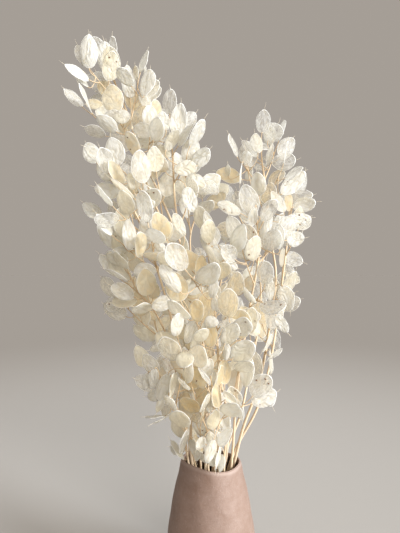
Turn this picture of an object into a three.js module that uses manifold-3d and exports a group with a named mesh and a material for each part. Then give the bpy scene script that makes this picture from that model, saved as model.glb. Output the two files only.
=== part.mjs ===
// Dried honesty stems (Lunaria annua) standing in a tapered clay vase.
// Millimetres, +Z up, origin at the middle of the vase's flat underside.
import * as THREE from "three";
import { mergeVertices } from "three/addons/utils/BufferGeometryUtils.js";
import Module from "manifold-3d";

const manifoldLibrary = await Module();
manifoldLibrary.setup();

// ---- Vase -------------------------------------------------------------------------------------

const VASE_SIDES = 28;
const WALL = 5;
const LIP_WIDTH = 4.5;
const FLOOR = 9;
const MOUTH_RADIUS = 43;
const RIM_HEIGHT = 194;
// Outer profile from the flat foot to just under the rounded lip: [radius, height].
const VASE_PROFILE = [
  [53, 0],
  [59, 7],
  [62.5, 25],
  [63.5, 50],
  [62.3, 75],
  [60.2, 97],
  [57, 119],
  [52.4, 147],
  [46.4, 172],
];
// Inner profile below the shoulder, down to the flat floor: [radius, height].
const INNER_PROFILE = [
  [58, 50],
  [57, 22],
  [50, FLOOR],
  [0, FLOOR],
];
const SHOULDER_FROM = 90;
// The lip waves: it is highest at the front left, where the mouth is also pressed a little flat.
const LIP_HIGH_AT = THREE.MathUtils.degToRad(-125);
const LIP_WAVE = 3.4;
const LIP_RIPPLE = 1.2;
const RIPPLE_PHASE = 0.5;
const PRESSED_FLAT = 0.07;
const WAVE_STARTS_AT = 90;
const VASE_FLARE = 0.35;

// ---- Stems ------------------------------------------------------------------------------------

const STEM_SIDES = 4;
const STEM_TIP_RADIUS = 1.2;
const STEM_THICKENING = 0.0018;
const FOOT_GAP = 0.3;
const MOUTH_LEVEL = 195;
const LOWEST_FORK = MOUTH_LEVEL + 8;
// Inside the vase the stems cross in a spiral, so that none meets another.
const SPIRAL_TURN = THREE.MathUtils.degToRad(110);
const SPIRAL_SPREAD = 1.15;
// A side branch leaves its stem where its tip is seen at this angle, and sags by a share of its length.
const BRANCH_SIDES = 3;
const BRANCH_SECTIONS = 3;
const BRANCH_RADIUS = 1.6;
const BRANCH_TIP_RADIUS = 1.25;
const FORK_ANGLE = THREE.MathUtils.degToRad(36);
const BRANCH_SAG = 0.1;

// ---- Seed pods --------------------------------------------------------------------------------

const POD_POINTS = 8;
const POD_LENGTH = [28, 39];
const POD_WIDTH = [0.68, 0.82];
const POD_HALF_THICKNESS = 1;
const POD_POINTED = 0.05;
const POD_CUP = 1.8;
const POD_WAVE = 1.4;
const STALK_RADIUS = 0.75;
const STALK_DEPTH = 1.5 * STALK_RADIUS;
const STALK_ROOT_SHARE = 0.4;
const STALK_LENGTH = [9, 19];
const STALK_LEAN = [0.55, 1.2];
const POD_UPRIGHT = 0.3;
const POD_TILT = 0.3;
const FACE_SPREAD = 0.85;
const POD_SPACING = 14;
const RACEME_LENGTH = 58;
const RACEME_SHARE = 0.7;
const GOLDEN_ANGLE = Math.PI * (3 - Math.sqrt(5));
const TOP_POD_LEAN = 0.15;
// What a pod keeps from its neighbours and from the vase, and how a blocked one looks for room:
// each further try turns it round its stem and leans it by up to these angles.
const CLEARANCE = 0.5;
const POD_OFF_VASE = 3;
const TRIES = 160;
const TURN_SLACK = 2.4;
const LEAN_SLACK = 0.3;

// Each stem: where it leaves the vase's mouth [x, y], its path above, how far down its own raceme of
// pods reaches, and the tips of its side branches, all as [x, y, z].
const STEMS = [
  {
    // tall left
    mouth: [22, 5],
    path: [[20, 5, 276], [-5, 8, 374], [-35, 10, 478], [-73, 12, 567], [-102, 15, 632],
      [-128, 18, 708], [-149, 16, 750]],
    leader: 84,
    tips: [[-162, -8, 730], [-103, 5, 722], [-164, -10, 674], [-93, 40, 705], [-139, 45, 668]],
  },
  {
    // left, bowed
    mouth: [-8, 8],
    path: [[-1, 15, 273], [-18, 10, 374], [-46, -5, 480], [-77, -15, 548],
      [-102, -25, 618], [-120, -28, 653]],
    leader: 56,
    tips: [[-81, -38, 630], [-113, -45, 586], [-69, -45, 571], [-65, 25, 462]],
  },
  {
    // middle left
    mouth: [10, -10],
    path: [[9, -12, 282], [-9, -20, 379], [-31, -30, 470], [-47, -35, 533],
      [-50, -35, 586], [-54, -28, 651]],
    leader: 70,
    tips: [[-33, -45, 602], [-25, -15, 574], [1, -8, 429]],
  },
  {
    // thin, behind
    mouth: [7, 20],
    path: [[-1, 20, 271], [-12, 40, 369], [-28, 50, 471], [-31, 52, 517], [-15, 55, 554],
      [-1, 58, 567]],
    leader: 28,
    tips: [[-33, 30, 552], [-50, 75, 586], [18, 50, 410]],
  },
  {
    // lower left, long
    mouth: [-27, -15],
    path: [[-26, -20, 251], [-35, -30, 314], [-52, -40, 395], [-73, -48, 470],
      [-94, -52, 526], [-117, -52, 567], [-135, -52, 587]],
    leader: 56,
    tips: [[-115, -75, 531], [-114, -68, 495], [-86, -70, 556], [-75, -80, 506]],
  },
  {
    // lower left, short
    mouth: [-33, -2],
    path: [[-35, -6, 242], [-46, -10, 308], [-63, -15, 378], [-86, -20, 417],
      [-112, -25, 441]],
    leader: 56,
    tips: [[-77, -48, 415], [-124, -5, 415], [-111, -45, 465], [-37, -14, 219]],
  },
  {
    // low left, behind
    mouth: [-27, 19],
    path: [[-30, 20, 235], [-45, 35, 281], [-64, 45, 323], [-79, 50, 352]],
    leader: 42,
    tips: [[-92, 55, 401], [-86, 28, 306]],
  },
  {
    // front middle
    mouth: [3, -24],
    path: [[12, -32, 262], [9, -42, 330], [5, -50, 396], [-2, -56, 454], [-7, -58, 500]],
    leader: 70,
    tips: [[-50, -72, 488], [-25, -78, 451], [16, -72, 468], [-30, -70, 409], [24, -62, 413]],
  },
  {
    // front low
    mouth: [-6, -31],
    path: [[5, -42, 253], [1, -55, 302], [-6, -66, 349], [-15, -72, 381]],
    leader: 44,
    tips: [[-40, -72, 369], [11, -80, 362], [-6, -84, 320], [12, -70, 279], [2, -58, 252]],
  },
  {
    // right, main
    mouth: [33, -5],
    path: [[44, -12, 247], [62, -8, 287], [76, 0, 341], [86, 5, 403], [94, 8, 452],
      [85, 8, 502], [79, 10, 576], [73, 12, 611], [72, 12, 640]],
    leader: 56,
    tips: [[45, 5, 609], [98, 0, 597], [98, 35, 641], [68, -20, 546], [64, -10, 302], [76, -22, 372]],
  },
  {
    // right, outer
    mouth: [31, 11],
    path: [[55, 5, 241], [71, 8, 275], [89, 20, 336], [103, 32, 415], [114, 40, 489],
      [121, 45, 538], [126, 48, 560]],
    leader: 56,
    tips: [[122, 25, 503], [111, 55, 456], [105, 15, 419], [78, 40, 377]],
  },
  {
    // right, front
    mouth: [27, -19],
    path: [[30, -30, 254], [34, -42, 318], [43, -52, 384], [52, -58, 441],
      [60, -60, 485], [55, -60, 520]],
    leader: 56,
    tips: [[37, -75, 480], [75, -55, 488], [60, -75, 434]],
  },
  {
    // behind, middle
    mouth: [0, 33],
    path: [[-6, 45, 232], [-8, 65, 303], [4, 80, 379], [20, 90, 443], [27, 95, 492]],
    leader: 60,
    tips: [[54, 105, 425], [-12, 105, 434], [21, 108, 358], [-35, 85, 354]],
  },
  {
    // behind, right
    mouth: [22, 25],
    path: [[44, 35, 236], [61, 55, 305], [79, 70, 380], [81, 80, 451], [62, 85, 515],
      [43, 88, 556]],
    leader: 56,
    tips: [[99, 95, 505], [107, 85, 402], [65, 85, 354]],
  },
  {
    // behind, left
    mouth: [-14, 21],
    path: [[-15, 20, 271], [-36, 30, 371], [-68, 38, 459], [-97, 42, 522],
      [-124, 45, 571]],
    leader: 62,
    tips: [[-146, 35, 526], [-94, 65, 572], [-106, 65, 487]],
  },
  {
    // front, right low
    mouth: [16, -30],
    path: [[21, -40, 252], [28, -50, 301], [35, -56, 340], [40, -58, 366]],
    leader: 44,
    tips: [[12, -66, 314], [40, -55, 290], [25, -75, 388]],
  },
  {
    // low left, front
    mouth: [-21, -24],
    path: [[-29, -30, 235], [-41, -40, 271], [-54, -46, 301], [-67, -48, 319]],
    leader: 42,
    tips: [[-46, -50, 279], [-38, -62, 331], [-36, -55, 258]],
  },
  {
    // low middle
    mouth: [-16, -6],
    path: [[-9, -16, 249], [-10, -26, 289], [-9, -34, 322]],
    leader: 42,
    tips: [[-15, -48, 260], [-31, -34, 286], [-37, -30, 391], [14, -30, 351]],
  },
];

const CLAY = new THREE.MeshStandardMaterial({ color: 0xcaa596, roughness: 0.95, metalness: 0 });
const BLEACHED_STEM = new THREE.MeshStandardMaterial({ color: 0xf1e6cf, roughness: 0.6, metalness: 0 });

// ---- Shared helpers ---------------------------------------------------------------------------

// Park-Miller generator: the same bouquet grows every time.
let seed = 128;
function random(low = 0, high = 1) {
  seed = (seed * 16807) % 2147483647;
  return low + ((high - low) * seed) / 2147483647;
}

function randomVector() {
  return new THREE.Vector3(random(-1, 1), random(-1, 1), random(-1, 1));
}

function pointOf([x, y, z]) {
  return new THREE.Vector3(x, y, z);
}

// The part of a vector that is square to a unit direction, at unit length.
function squareTo(direction, vector) {
  return vector.clone().addScaledVector(direction, -vector.dot(direction)).normalize();
}

function closedGeometry(points, triangles) {
  const geometry = new THREE.BufferGeometry();
  geometry.setAttribute("position", new THREE.Float32BufferAttribute(points.flatMap((p) => p.toArray()), 3));
  geometry.setIndex(triangles.flat());
  return geometry;
}

function solidOf(geometry) {
  return new manifoldLibrary.Manifold(
    new manifoldLibrary.Mesh({
      numProp: 3,
      vertProperties: new Float32Array(geometry.attributes.position.array),
      triVerts: new Uint32Array(geometry.index.array),
    }),
  );
}

function geometryOf(solid) {
  const mesh = solid.getMesh();
  const geometry = new THREE.BufferGeometry();
  geometry.setAttribute("position", new THREE.Float32BufferAttribute(mesh.vertProperties, 3));
  geometry.setIndex(Array.from(mesh.triVerts));
  return geometry;
}

// ---- Clearance --------------------------------------------------------------------------------

// A convex piece: points grown by a radius, with a sphere round it for a quick first test.
function convexPiece(points, radius, owner) {
  const sphere = new THREE.Sphere().setFromPoints(points);
  return { points, radius, owner, centre: sphere.center, reach: sphere.radius + radius };
}

function farthest(points, direction) {
  let best = points[0];
  for (const point of points) {
    if (point.dot(direction) > best.dot(direction)) best = point;
  }
  return best;
}

// True if two convex pieces keep CLEARANCE. The nearest known point of their difference walks towards
// the origin (Gilbert's method) until a separating plane is found or the point is too near.
function apart(a, b) {
  const need = a.radius + b.radius + CLEARANCE;
  const nearest = a.points[0].clone().sub(b.points[0]);
  for (let step = 0; step < 50; step += 1) {
    const length = nearest.length();
    if (length < need) return false;
    const back = nearest.clone().negate();
    const support = farthest(a.points, back).clone().sub(farthest(b.points, nearest));
    if (nearest.dot(support) / length >= need) return true;
    const span = support.sub(nearest);
    const share = THREE.MathUtils.clamp(-nearest.dot(span) / span.lengthSq(), 0, 1);
    nearest.addScaledVector(span, share);
  }
  return false;
}

const grown = [];

function isClear(piece, ignoredOwner) {
  return grown.every((other) => {
    if (ignoredOwner && other.owner === ignoredOwner) return true;
    if (piece.centre.distanceTo(other.centre) > piece.reach + other.reach + CLEARANCE) return true;
    return apart(piece, other);
  });
}

// Pods stay above the lip or hang outside the vase, which widens downwards by VASE_FLARE.
function clearOfVase(points) {
  const lipTop = RIM_HEIGHT + LIP_WAVE + LIP_RIPPLE + POD_OFF_VASE;
  return points.every((point) => {
    const keepOut = MOUTH_RADIUS + POD_OFF_VASE + (lipTop - point.z) * VASE_FLARE;
    return point.z > lipTop || Math.hypot(point.x, point.y) > keepOut;
  });
}

// ---- Vase -------------------------------------------------------------------------------------

// Height of the lip's wave and flattening of the mouth at an angle, both growing from WAVE_STARTS_AT up.
function shapeClay(point) {
  const angle = Math.atan2(point.y, point.x);
  const rise = THREE.MathUtils.smoothstep(point.z, WAVE_STARTS_AT, RIM_HEIGHT);
  const pressed = Math.max(0, Math.cos(angle - LIP_HIGH_AT)) ** 4;
  const inwards = 1 - PRESSED_FLAT * pressed * rise;
  const wave = LIP_WAVE * Math.cos(angle - LIP_HIGH_AT) + LIP_RIPPLE * Math.cos(3 * angle + RIPPLE_PHASE);
  return new THREE.Vector3(point.x * inwards, point.y * inwards, point.z + wave * rise);
}

// The profile runs up the outside, over the rounded lip and down the inside to the floor.
function vaseGeometry() {
  const shoulder = VASE_PROFILE.filter(([, height]) => height > SHOULDER_FROM).reverse();
  const profile = [
    [0, 0],
    ...VASE_PROFILE,
    [MOUTH_RADIUS, RIM_HEIGHT - 5],
    [MOUTH_RADIUS - 1, RIM_HEIGHT - 1.4],
    [MOUTH_RADIUS - LIP_WIDTH / 2, RIM_HEIGHT],
    [MOUTH_RADIUS - LIP_WIDTH + 0.4, RIM_HEIGHT - 1.6],
    ...shoulder.map(([radius, height]) => [radius - WALL, height]),
    ...INNER_PROFILE,
  ].map(([radius, height]) => new THREE.Vector2(radius, height));
  const turned = new THREE.LatheGeometry(profile, VASE_SIDES);
  turned.rotateX(Math.PI / 2);
  turned.deleteAttribute("normal");
  turned.deleteAttribute("uv");
  const geometry = mergeVertices(turned, 0.001);
  const positions = geometry.attributes.position;
  for (let i = 0; i < positions.count; i += 1) {
    const shaped = shapeClay(new THREE.Vector3().fromBufferAttribute(positions, i));
    positions.setXYZ(i, shaped.x, shaped.y, shaped.z);
  }
  return geometry;
}

// ---- Stems and branches -----------------------------------------------------------------------

// A tapered tube through points, with flat ends. With flatFoot its first end is cut level.
function taperedTube(points, radii, sides, flatFoot) {
  const vertices = [];
  let normal = squareTo(points[1].clone().sub(points[0]).normalize(), new THREE.Vector3(0.3, 1, 0.1));
  points.forEach((point, i) => {
    const before = points[Math.max(i - 1, 0)];
    const after = points[Math.min(i + 1, points.length - 1)];
    const tangent = after.clone().sub(before).normalize();
    normal = squareTo(tangent, normal);
    const binormal = tangent.clone().cross(normal);
    for (let side = 0; side < sides; side += 1) {
      const turn = (2 * Math.PI * side) / sides;
      const vertex = point.clone();
      vertex.addScaledVector(normal, radii[i] * Math.cos(turn));
      vertex.addScaledVector(binormal, radii[i] * Math.sin(turn));
      if (flatFoot && i === 0) vertex.z = point.z;
      vertices.push(vertex);
    }
  });
  const triangles = [];
  const last = (points.length - 1) * sides;
  for (let side = 2; side < sides; side += 1) {
    triangles.push([0, side, side - 1]);
    triangles.push([last, last + side - 1, last + side]);
  }
  for (let ring = 0; ring < last; ring += sides) {
    for (let side = 0; side < sides; side += 1) {
      const next = (side + 1) % sides;
      triangles.push([ring + side, ring + next, ring + sides + next]);
      triangles.push([ring + side, ring + sides + next, ring + sides + side]);
    }
  }
  return closedGeometry(vertices, triangles);
}

// The stem's foot stands on the vase's floor, turned and spread from its place in the mouth.
function footOf(mouth) {
  const foot = mouth.clone().applyAxisAngle(new THREE.Vector3(0, 0, 1), SPIRAL_TURN);
  foot.multiplyScalar(SPIRAL_SPREAD);
  foot.z = FLOOR + FOOT_GAP;
  return foot;
}

// Straight from the foot to the mouth, then along the curve: two sections to each span.
function stemSections(curve, spans) {
  const points = [curve.getPoint(0)];
  for (let step = 2; step <= 2 * spans; step += 1) points.push(curve.getPoint(step / (2 * spans)));
  return points;
}

function taper(count, first, last) {
  return Array.from({ length: count }, (_, i) => first + ((last - first) * i) / (count - 1));
}

// The line of straight pieces through points, which a tube's sections are joined by.
function axisThrough(points) {
  const axis = new THREE.CurvePath();
  points.slice(1).forEach((point, i) => axis.add(new THREE.LineCurve3(points[i], point)));
  return axis;
}

// The place on the stem from which the tip is seen at the fork angle.
function forkTo(axis, tip) {
  const steps = 100;
  let best = 1;
  let bestError = Infinity;
  for (let step = 1; step < steps; step += 1) {
    const share = step / steps;
    if (axis.getPoint(share).z < LOWEST_FORK) continue;
    const sight = tip.clone().sub(axis.getPoint(share));
    const ahead = axis.getPoint(share + 0.005).sub(axis.getPoint(share - 0.005));
    const error = Math.abs(ahead.angleTo(sight) - FORK_ANGLE);
    if (error < bestError) {
      bestError = error;
      best = share;
    }
  }
  return axis.getPoint(best);
}

function branchCurve(stemAxis, tip) {
  const fork = forkTo(stemAxis, tip);
  const elbow = fork.clone().lerp(tip, 0.5);
  elbow.z -= BRANCH_SAG * fork.distanceTo(tip);
  return new THREE.QuadraticBezierCurve3(fork, elbow, tip);
}

function capsulesAlong(points, radii, owner) {
  return points.slice(1).map((point, i) => convexPiece([points[i], point], radii[i], owner));
}

// ---- Seed pods --------------------------------------------------------------------------------

// A pod grows from its base along "along", is flat across "face", and hangs on a stalk from root.
// Its ring of points is an oval with drawn-out ends; the two crowns over its middle make it a thin lens.
function podShape({ root, base, along, face, length, width, cup, wave }) {
  const across = along.clone().cross(face);
  const at = (u, v, w) =>
    base.clone().addScaledVector(across, u).addScaledVector(along, v).addScaledVector(face, w);
  const ring = [];
  for (let i = 1; i < POD_POINTS; i += 1) {
    const turn = (2 * Math.PI * i) / POD_POINTS;
    const pointed = i === POD_POINTS / 2 ? POD_POINTED * length : 0;
    const v = (length / 2) * (1 - Math.cos(turn)) + pointed;
    const u = -(width / 2) * Math.sin(turn);
    ring.push(at(u, v, wave * (Math.cos(2 * turn) - 1) * 0.5));
  }
  const crown = (side) => at(0, length / 2, cup + side * POD_HALF_THICKNESS);
  const down = root.clone().sub(base).normalize();
  const stalkAcross = squareTo(down, across);
  const stalkBack = squareTo(down, face.clone().negate());
  const stalkEnd = (middle, scale) => [
    middle.clone().addScaledVector(stalkAcross, -STALK_RADIUS * scale),
    middle.clone().addScaledVector(stalkAcross, STALK_RADIUS * scale),
    middle.clone().addScaledVector(stalkBack, STALK_DEPTH * scale),
  ];
  const neck = stalkEnd(base, 1);
  const heel = stalkEnd(root, STALK_ROOT_SHARE);
  return { ring, top: crown(1), bottom: crown(-1), neck, heel };
}

// One closed body: two fans of triangles over the ring, and a three-sided stalk below the neck.
function podGeometry({ ring, top, bottom, neck, heel }) {
  const points = [...ring, ...neck, ...heel, top, bottom];
  const count = ring.length;
  const [left, right, back] = [count, count + 1, count + 2];
  const [leftHeel, rightHeel, backHeel] = [count + 3, count + 4, count + 5];
  const [topCrown, bottomCrown] = [count + 6, count + 7];
  const triangles = [];
  const edge = [left, ...ring.keys(), right];
  for (let i = 1; i < edge.length; i += 1) {
    triangles.push([topCrown, edge[i], edge[i - 1]]);
    triangles.push([bottomCrown, edge[i - 1], edge[i]]);
  }
  triangles.push([topCrown, left, right]);
  triangles.push([bottomCrown, right, back]);
  triangles.push([bottomCrown, back, left]);
  const wall = (a, b, lowerA, lowerB) => triangles.push([a, lowerA, b], [b, lowerA, lowerB]);
  wall(left, right, leftHeel, rightHeel);
  wall(right, back, rightHeel, backHeel);
  wall(back, left, backHeel, leftHeel);
  triangles.push([leftHeel, backHeel, rightHeel]);
  return closedGeometry(points, triangles);
}

// One try at a pod: it stands off the axis at root, turned round it and leaning outwards.
function drawPod(root, tangent, turn, lean) {
  const side = squareTo(tangent, new THREE.Vector3(1, 0.2, 0.1)).applyAxisAngle(tangent, turn);
  const stalk = tangent.clone().multiplyScalar(Math.cos(lean)).addScaledVector(side, Math.sin(lean));
  const base = root.clone().addScaledVector(stalk, random(...STALK_LENGTH));
  const along = stalk.clone().addScaledVector(randomVector(), POD_TILT);
  along.z += POD_UPRIGHT;
  along.normalize();
  const face = squareTo(along, new THREE.Vector3(0, 1, 0).addScaledVector(randomVector(), FACE_SPREAD));
  const length = random(...POD_LENGTH);
  const width = length * random(...POD_WIDTH);
  const cup = random(-POD_CUP, POD_CUP);
  const wave = random(-POD_WAVE, POD_WAVE);
  return { root, base, along, face, length, width, cup, wave };
}

// Places one pod where it is clear of all that has grown, or none after TRIES draws.
function placePod(root, tangent, turn, lean, axisOwner) {
  for (let attempt = 0; attempt < TRIES; attempt += 1) {
    const slack = attempt / TRIES;
    const turned = turn + random(-TURN_SLACK, TURN_SLACK) * slack;
    const leaned = lean + random(-LEAN_SLACK, LEAN_SLACK) * slack;
    const pod = drawPod(root, tangent, turned, leaned);
    const shape = podShape(pod);
    const blade = convexPiece([...shape.ring, ...shape.neck, shape.top, shape.bottom], 0);
    const stalk = convexPiece([root, pod.base], STALK_DEPTH);
    if (clearOfVase(blade.points) && isClear(blade) && isClear(stalk, axisOwner)) {
      grown.push(blade, stalk);
      return [podGeometry(shape)];
    }
  }
  return [];
}

// Pods up one raceme: from its tip down, in a spiral, the topmost in line with the axis.
function racemePods(axis, reach, axisOwner) {
  const geometries = [];
  const length = axis.getLength();
  const firstTurn = random(0, 2 * Math.PI);
  for (let down = 0; down <= reach; down += POD_SPACING) {
    const share = 1 - down / length;
    const root = axis.getPoint(share);
    const tangent = root.clone().sub(axis.getPoint(share - 0.02)).normalize();
    const lean = down === 0 ? TOP_POD_LEAN : random(...STALK_LEAN);
    const turn = firstTurn + (GOLDEN_ANGLE * down) / POD_SPACING;
    geometries.push(...placePod(root, tangent, turn, lean, axisOwner));
  }
  return geometries;
}

// ---- The bouquet ------------------------------------------------------------------------------

// Every stem and branch is laid out first, so that the pods can keep clear of all of them.
const skeletons = STEMS.map(({ mouth, path, leader, tips }, number) => {
  const places = [[...mouth, MOUTH_LEVEL], ...path].map(pointOf);
  const curve = new THREE.CatmullRomCurve3([footOf(places[0]), ...places], false, "catmullrom", 0.5);
  const points = stemSections(curve, places.length);
  const axis = axisThrough(points);
  const footRadius = STEM_TIP_RADIUS + STEM_THICKENING * axis.getLength();
  const radii = taper(points.length, footRadius, STEM_TIP_RADIUS);
  const owner = `stem ${number}`;
  grown.push(...capsulesAlong(points, radii, owner));
  const branches = tips.map((tip, order) => {
    const branchPoints = branchCurve(axis, pointOf(tip)).getPoints(BRANCH_SECTIONS);
    const branchRadii = taper(branchPoints.length, BRANCH_RADIUS, BRANCH_TIP_RADIUS);
    const branchOwner = `stem ${number} branch ${order}`;
    grown.push(...capsulesAlong(branchPoints, branchRadii, branchOwner));
    return { points: branchPoints, radii: branchRadii, owner: branchOwner };
  });
  return { points, radii, owner, leader, branches };
});

function stemGeometry({ points, radii, owner, leader, branches }) {
  const pieces = [taperedTube(points, radii, STEM_SIDES, true)];
  pieces.push(...racemePods(axisThrough(points), leader, owner));
  for (const branch of branches) {
    const axis = axisThrough(branch.points);
    const reach = Math.min(RACEME_LENGTH, axis.getLength() * RACEME_SHARE);
    pieces.push(taperedTube(branch.points, branch.radii, BRANCH_SIDES, false));
    pieces.push(...racemePods(axis, reach, branch.owner));
  }
  const fused = pieces.map(solidOf).reduce((whole, piece) => whole.add(piece));
  return geometryOf(fused);
}

const bouquet = new THREE.Group();

const vase = new THREE.Mesh(vaseGeometry(), CLAY);
vase.name = "vase";
bouquet.add(vase);

skeletons.forEach((skeleton, i) => {
  const stem = new THREE.Mesh(stemGeometry(skeleton), BLEACHED_STEM);
  stem.name = `honesty_stem_${String(i + 1).padStart(2, "0")}`;
  bouquet.add(stem);
});

export default bouquet;
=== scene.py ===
"""Dried honesty stems (Lunaria annua) in a tapered clay vase: every visible surface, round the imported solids.

Lengths are in millimetres, +Z up, with the origin under the vase. A mesh is turned into metres when it is
made.
"""
import math

import bpy
import numpy as np
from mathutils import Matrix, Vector


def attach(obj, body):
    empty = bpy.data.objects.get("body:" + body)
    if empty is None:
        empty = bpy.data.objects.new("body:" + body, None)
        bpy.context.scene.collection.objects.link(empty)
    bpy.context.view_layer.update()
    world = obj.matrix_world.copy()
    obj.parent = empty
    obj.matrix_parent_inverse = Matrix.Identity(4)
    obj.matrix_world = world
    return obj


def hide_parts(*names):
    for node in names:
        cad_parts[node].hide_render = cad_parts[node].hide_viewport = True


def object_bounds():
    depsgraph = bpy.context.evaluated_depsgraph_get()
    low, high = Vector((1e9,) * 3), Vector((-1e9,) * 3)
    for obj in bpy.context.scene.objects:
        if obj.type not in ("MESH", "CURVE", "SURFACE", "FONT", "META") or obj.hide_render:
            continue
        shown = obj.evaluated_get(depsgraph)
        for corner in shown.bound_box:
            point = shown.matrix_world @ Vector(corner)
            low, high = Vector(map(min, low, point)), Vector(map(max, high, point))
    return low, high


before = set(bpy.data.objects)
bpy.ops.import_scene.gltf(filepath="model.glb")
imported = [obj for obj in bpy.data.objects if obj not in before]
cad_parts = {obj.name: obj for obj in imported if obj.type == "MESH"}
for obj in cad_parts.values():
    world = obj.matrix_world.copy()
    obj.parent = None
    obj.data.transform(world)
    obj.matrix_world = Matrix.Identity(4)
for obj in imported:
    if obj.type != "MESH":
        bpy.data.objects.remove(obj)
cad_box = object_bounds()

MM = 0.001

# ---- Vase -------------------------------------------------------------------------------------

VASE_COLUMNS = 144
VASE_WALL = 5.0
LIP_WIDTH = 4.5
VASE_FLOOR = 9.0
MOUTH_RADIUS = 43.0
RIM_HEIGHT = 194.0
# Profiles as (radius, height): up the outside from the foot to under the lip, over the rounded lip, and the
# lower inside. From the lip down to SHOULDER_FROM the inside keeps VASE_WALL from the outside.
OUTER_PROFILE = [(53, 0), (59, 7), (62.5, 25), (63.5, 50), (62.3, 75), (60.2, 97), (57, 119), (52.4, 147),
                 (46.4, 172)]
LIP_PROFILE = [(MOUTH_RADIUS, RIM_HEIGHT - 5), (MOUTH_RADIUS - 1, RIM_HEIGHT - 1.4),
               (MOUTH_RADIUS - LIP_WIDTH / 2, RIM_HEIGHT),
               (MOUTH_RADIUS - LIP_WIDTH + 0.4, RIM_HEIGHT - 1.6)]
SHOULDER_FROM = 90.0
INNER_PROFILE = [(58, 50), (57, 22), (50, VASE_FLOOR)]
PROFILE_STEPS = 16
# Rings of the flat underside and of the floor inside, which lies FLOOR_DIP lower in the middle.
UNDERSIDE_RADII = (0, 30, 50, 52)
FLOOR_RADII = (40, 20, 0)
FLOOR_DIP = 1.0
# The lip's wave and the side that is pressed in, which is the side where the lip is high.
LIP_HIGH_AT = math.radians(-125)
LIP_WAVE = 3.4
LIP_RIPPLE = 1.2
RIPPLE_PHASE = 0.5
PRESSED_FLAT = 0.07
WAVE_STARTS_AT = 90.0
# Marks of the hand: how deep, and waves as (share, times round, millimetres a radian up the wall, phase).
HAND_MARKS = 0.7
HAND_WAVES = [(1, 3, 31, 0), (1, 5, -23, 1), (0.8, 9, 14, 2), (0.4, 2, 4.1, 0)]
MARKS_START = (2, 12)
# How far below the rim the lip's paler colour fades, and the painted shade inside the vase grows dark: where
# each starts and ends.
LIP_FADES = (1, 5)
INSIDE_PAINTED_SHADE = (1, 12)

# ---- Stems ------------------------------------------------------------------------------------

STEM_COLUMNS = 8
BRANCH_COLUMNS = 6
# How far apart a path's places lie, and how far to each side of a corner the path is rounded.
PATH_STEP = 6.0
CORNER_REACH = 30.0
# A stem's radius grows from its tip by STEM_THICKENING a millimetre, and the last of it is more pointed.
STEM_TIP_RADIUS = 1.2
STEM_THICKENING = 0.0018
STEM_POINT_RADIUS = 0.6
STEM_POINT_THICKENING = 0.02
BRANCH_TIP_RADIUS = 0.55
BRANCH_THICKENING = 0.55
# The radii between which a stem's colour goes from a thick one's to a thin one's, and where its grid starts.
THIN_BETWEEN = (2.4, 0.6)
SEAM_TOWARDS = (0.2, 1.0, 0.1)
# Stems stand a little above the vase's floor and turn round each other on the way up to the mouth.
FOOT_GAP = 0.3
MOUTH_LEVEL = 195.0
LOWEST_FORK = MOUTH_LEVEL + 8
SPIRAL_TURN = math.radians(110)
SPIRAL_SPREAD = 1.15
# A branch leaves at FORK_ANGLE and sags by BRANCH_SAG of its length.
BRANCH_SECTIONS = 3
FORK_ANGLE = math.radians(36)
BRANCH_SAG = 0.1

# ---- Seed pods --------------------------------------------------------------------------------

POD_COLUMNS = 20
# Rows of a pod's grid: the share of the way out, and how far the row stands off the middle of the sheet.
POD_ROWS = np.array([(0, 0.3), (0.4, 0.3), (0.72, 0.3), (0.95, 0.55), (1, 0),
                     (0.95, -0.55), (0.72, -0.3), (0.4, -0.3), (0, -0.3)])
# Ranges are (least, most). A width is a share of the length, and a lean is in radians off the stem.
POD_LENGTH = (28, 39)
POD_WIDTH = (0.68, 0.82)
POD_HALF_THICKNESS = 1.0
POD_POINTED = 0.05
POD_BASE_DRAWN = 0.02
POD_SLIMMER = 0.94
POD_CUP = 1.8
POD_WAVE = 1.4
POD_EGG = 0.13
# The sheet's twist, curl, ruffled edge and folds, in millimetres on a pod of USUAL_WIDTH.
USUAL_WIDTH = 26.0
POD_TWIST = 1.8
POD_CURL = 3.2
POD_RUFFLE = (0.3, 0.9)
POD_FOLDS = 0.8
STALK_LENGTH = (9, 19)
STALK_LEAN = (0.55, 1.2)
STALKS_TURN_FROM = (1, 0.2, 0.1)
POD_TILT = 0.3
POD_RISE = (-1.3, 0.7)
FACE_SPREAD = 0.85
# How far down a branch's tip its own pods grow: the least of a length and a share of the branch.
RACEME_LENGTH = 58.0
RACEME_SHARE = 0.7

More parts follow.
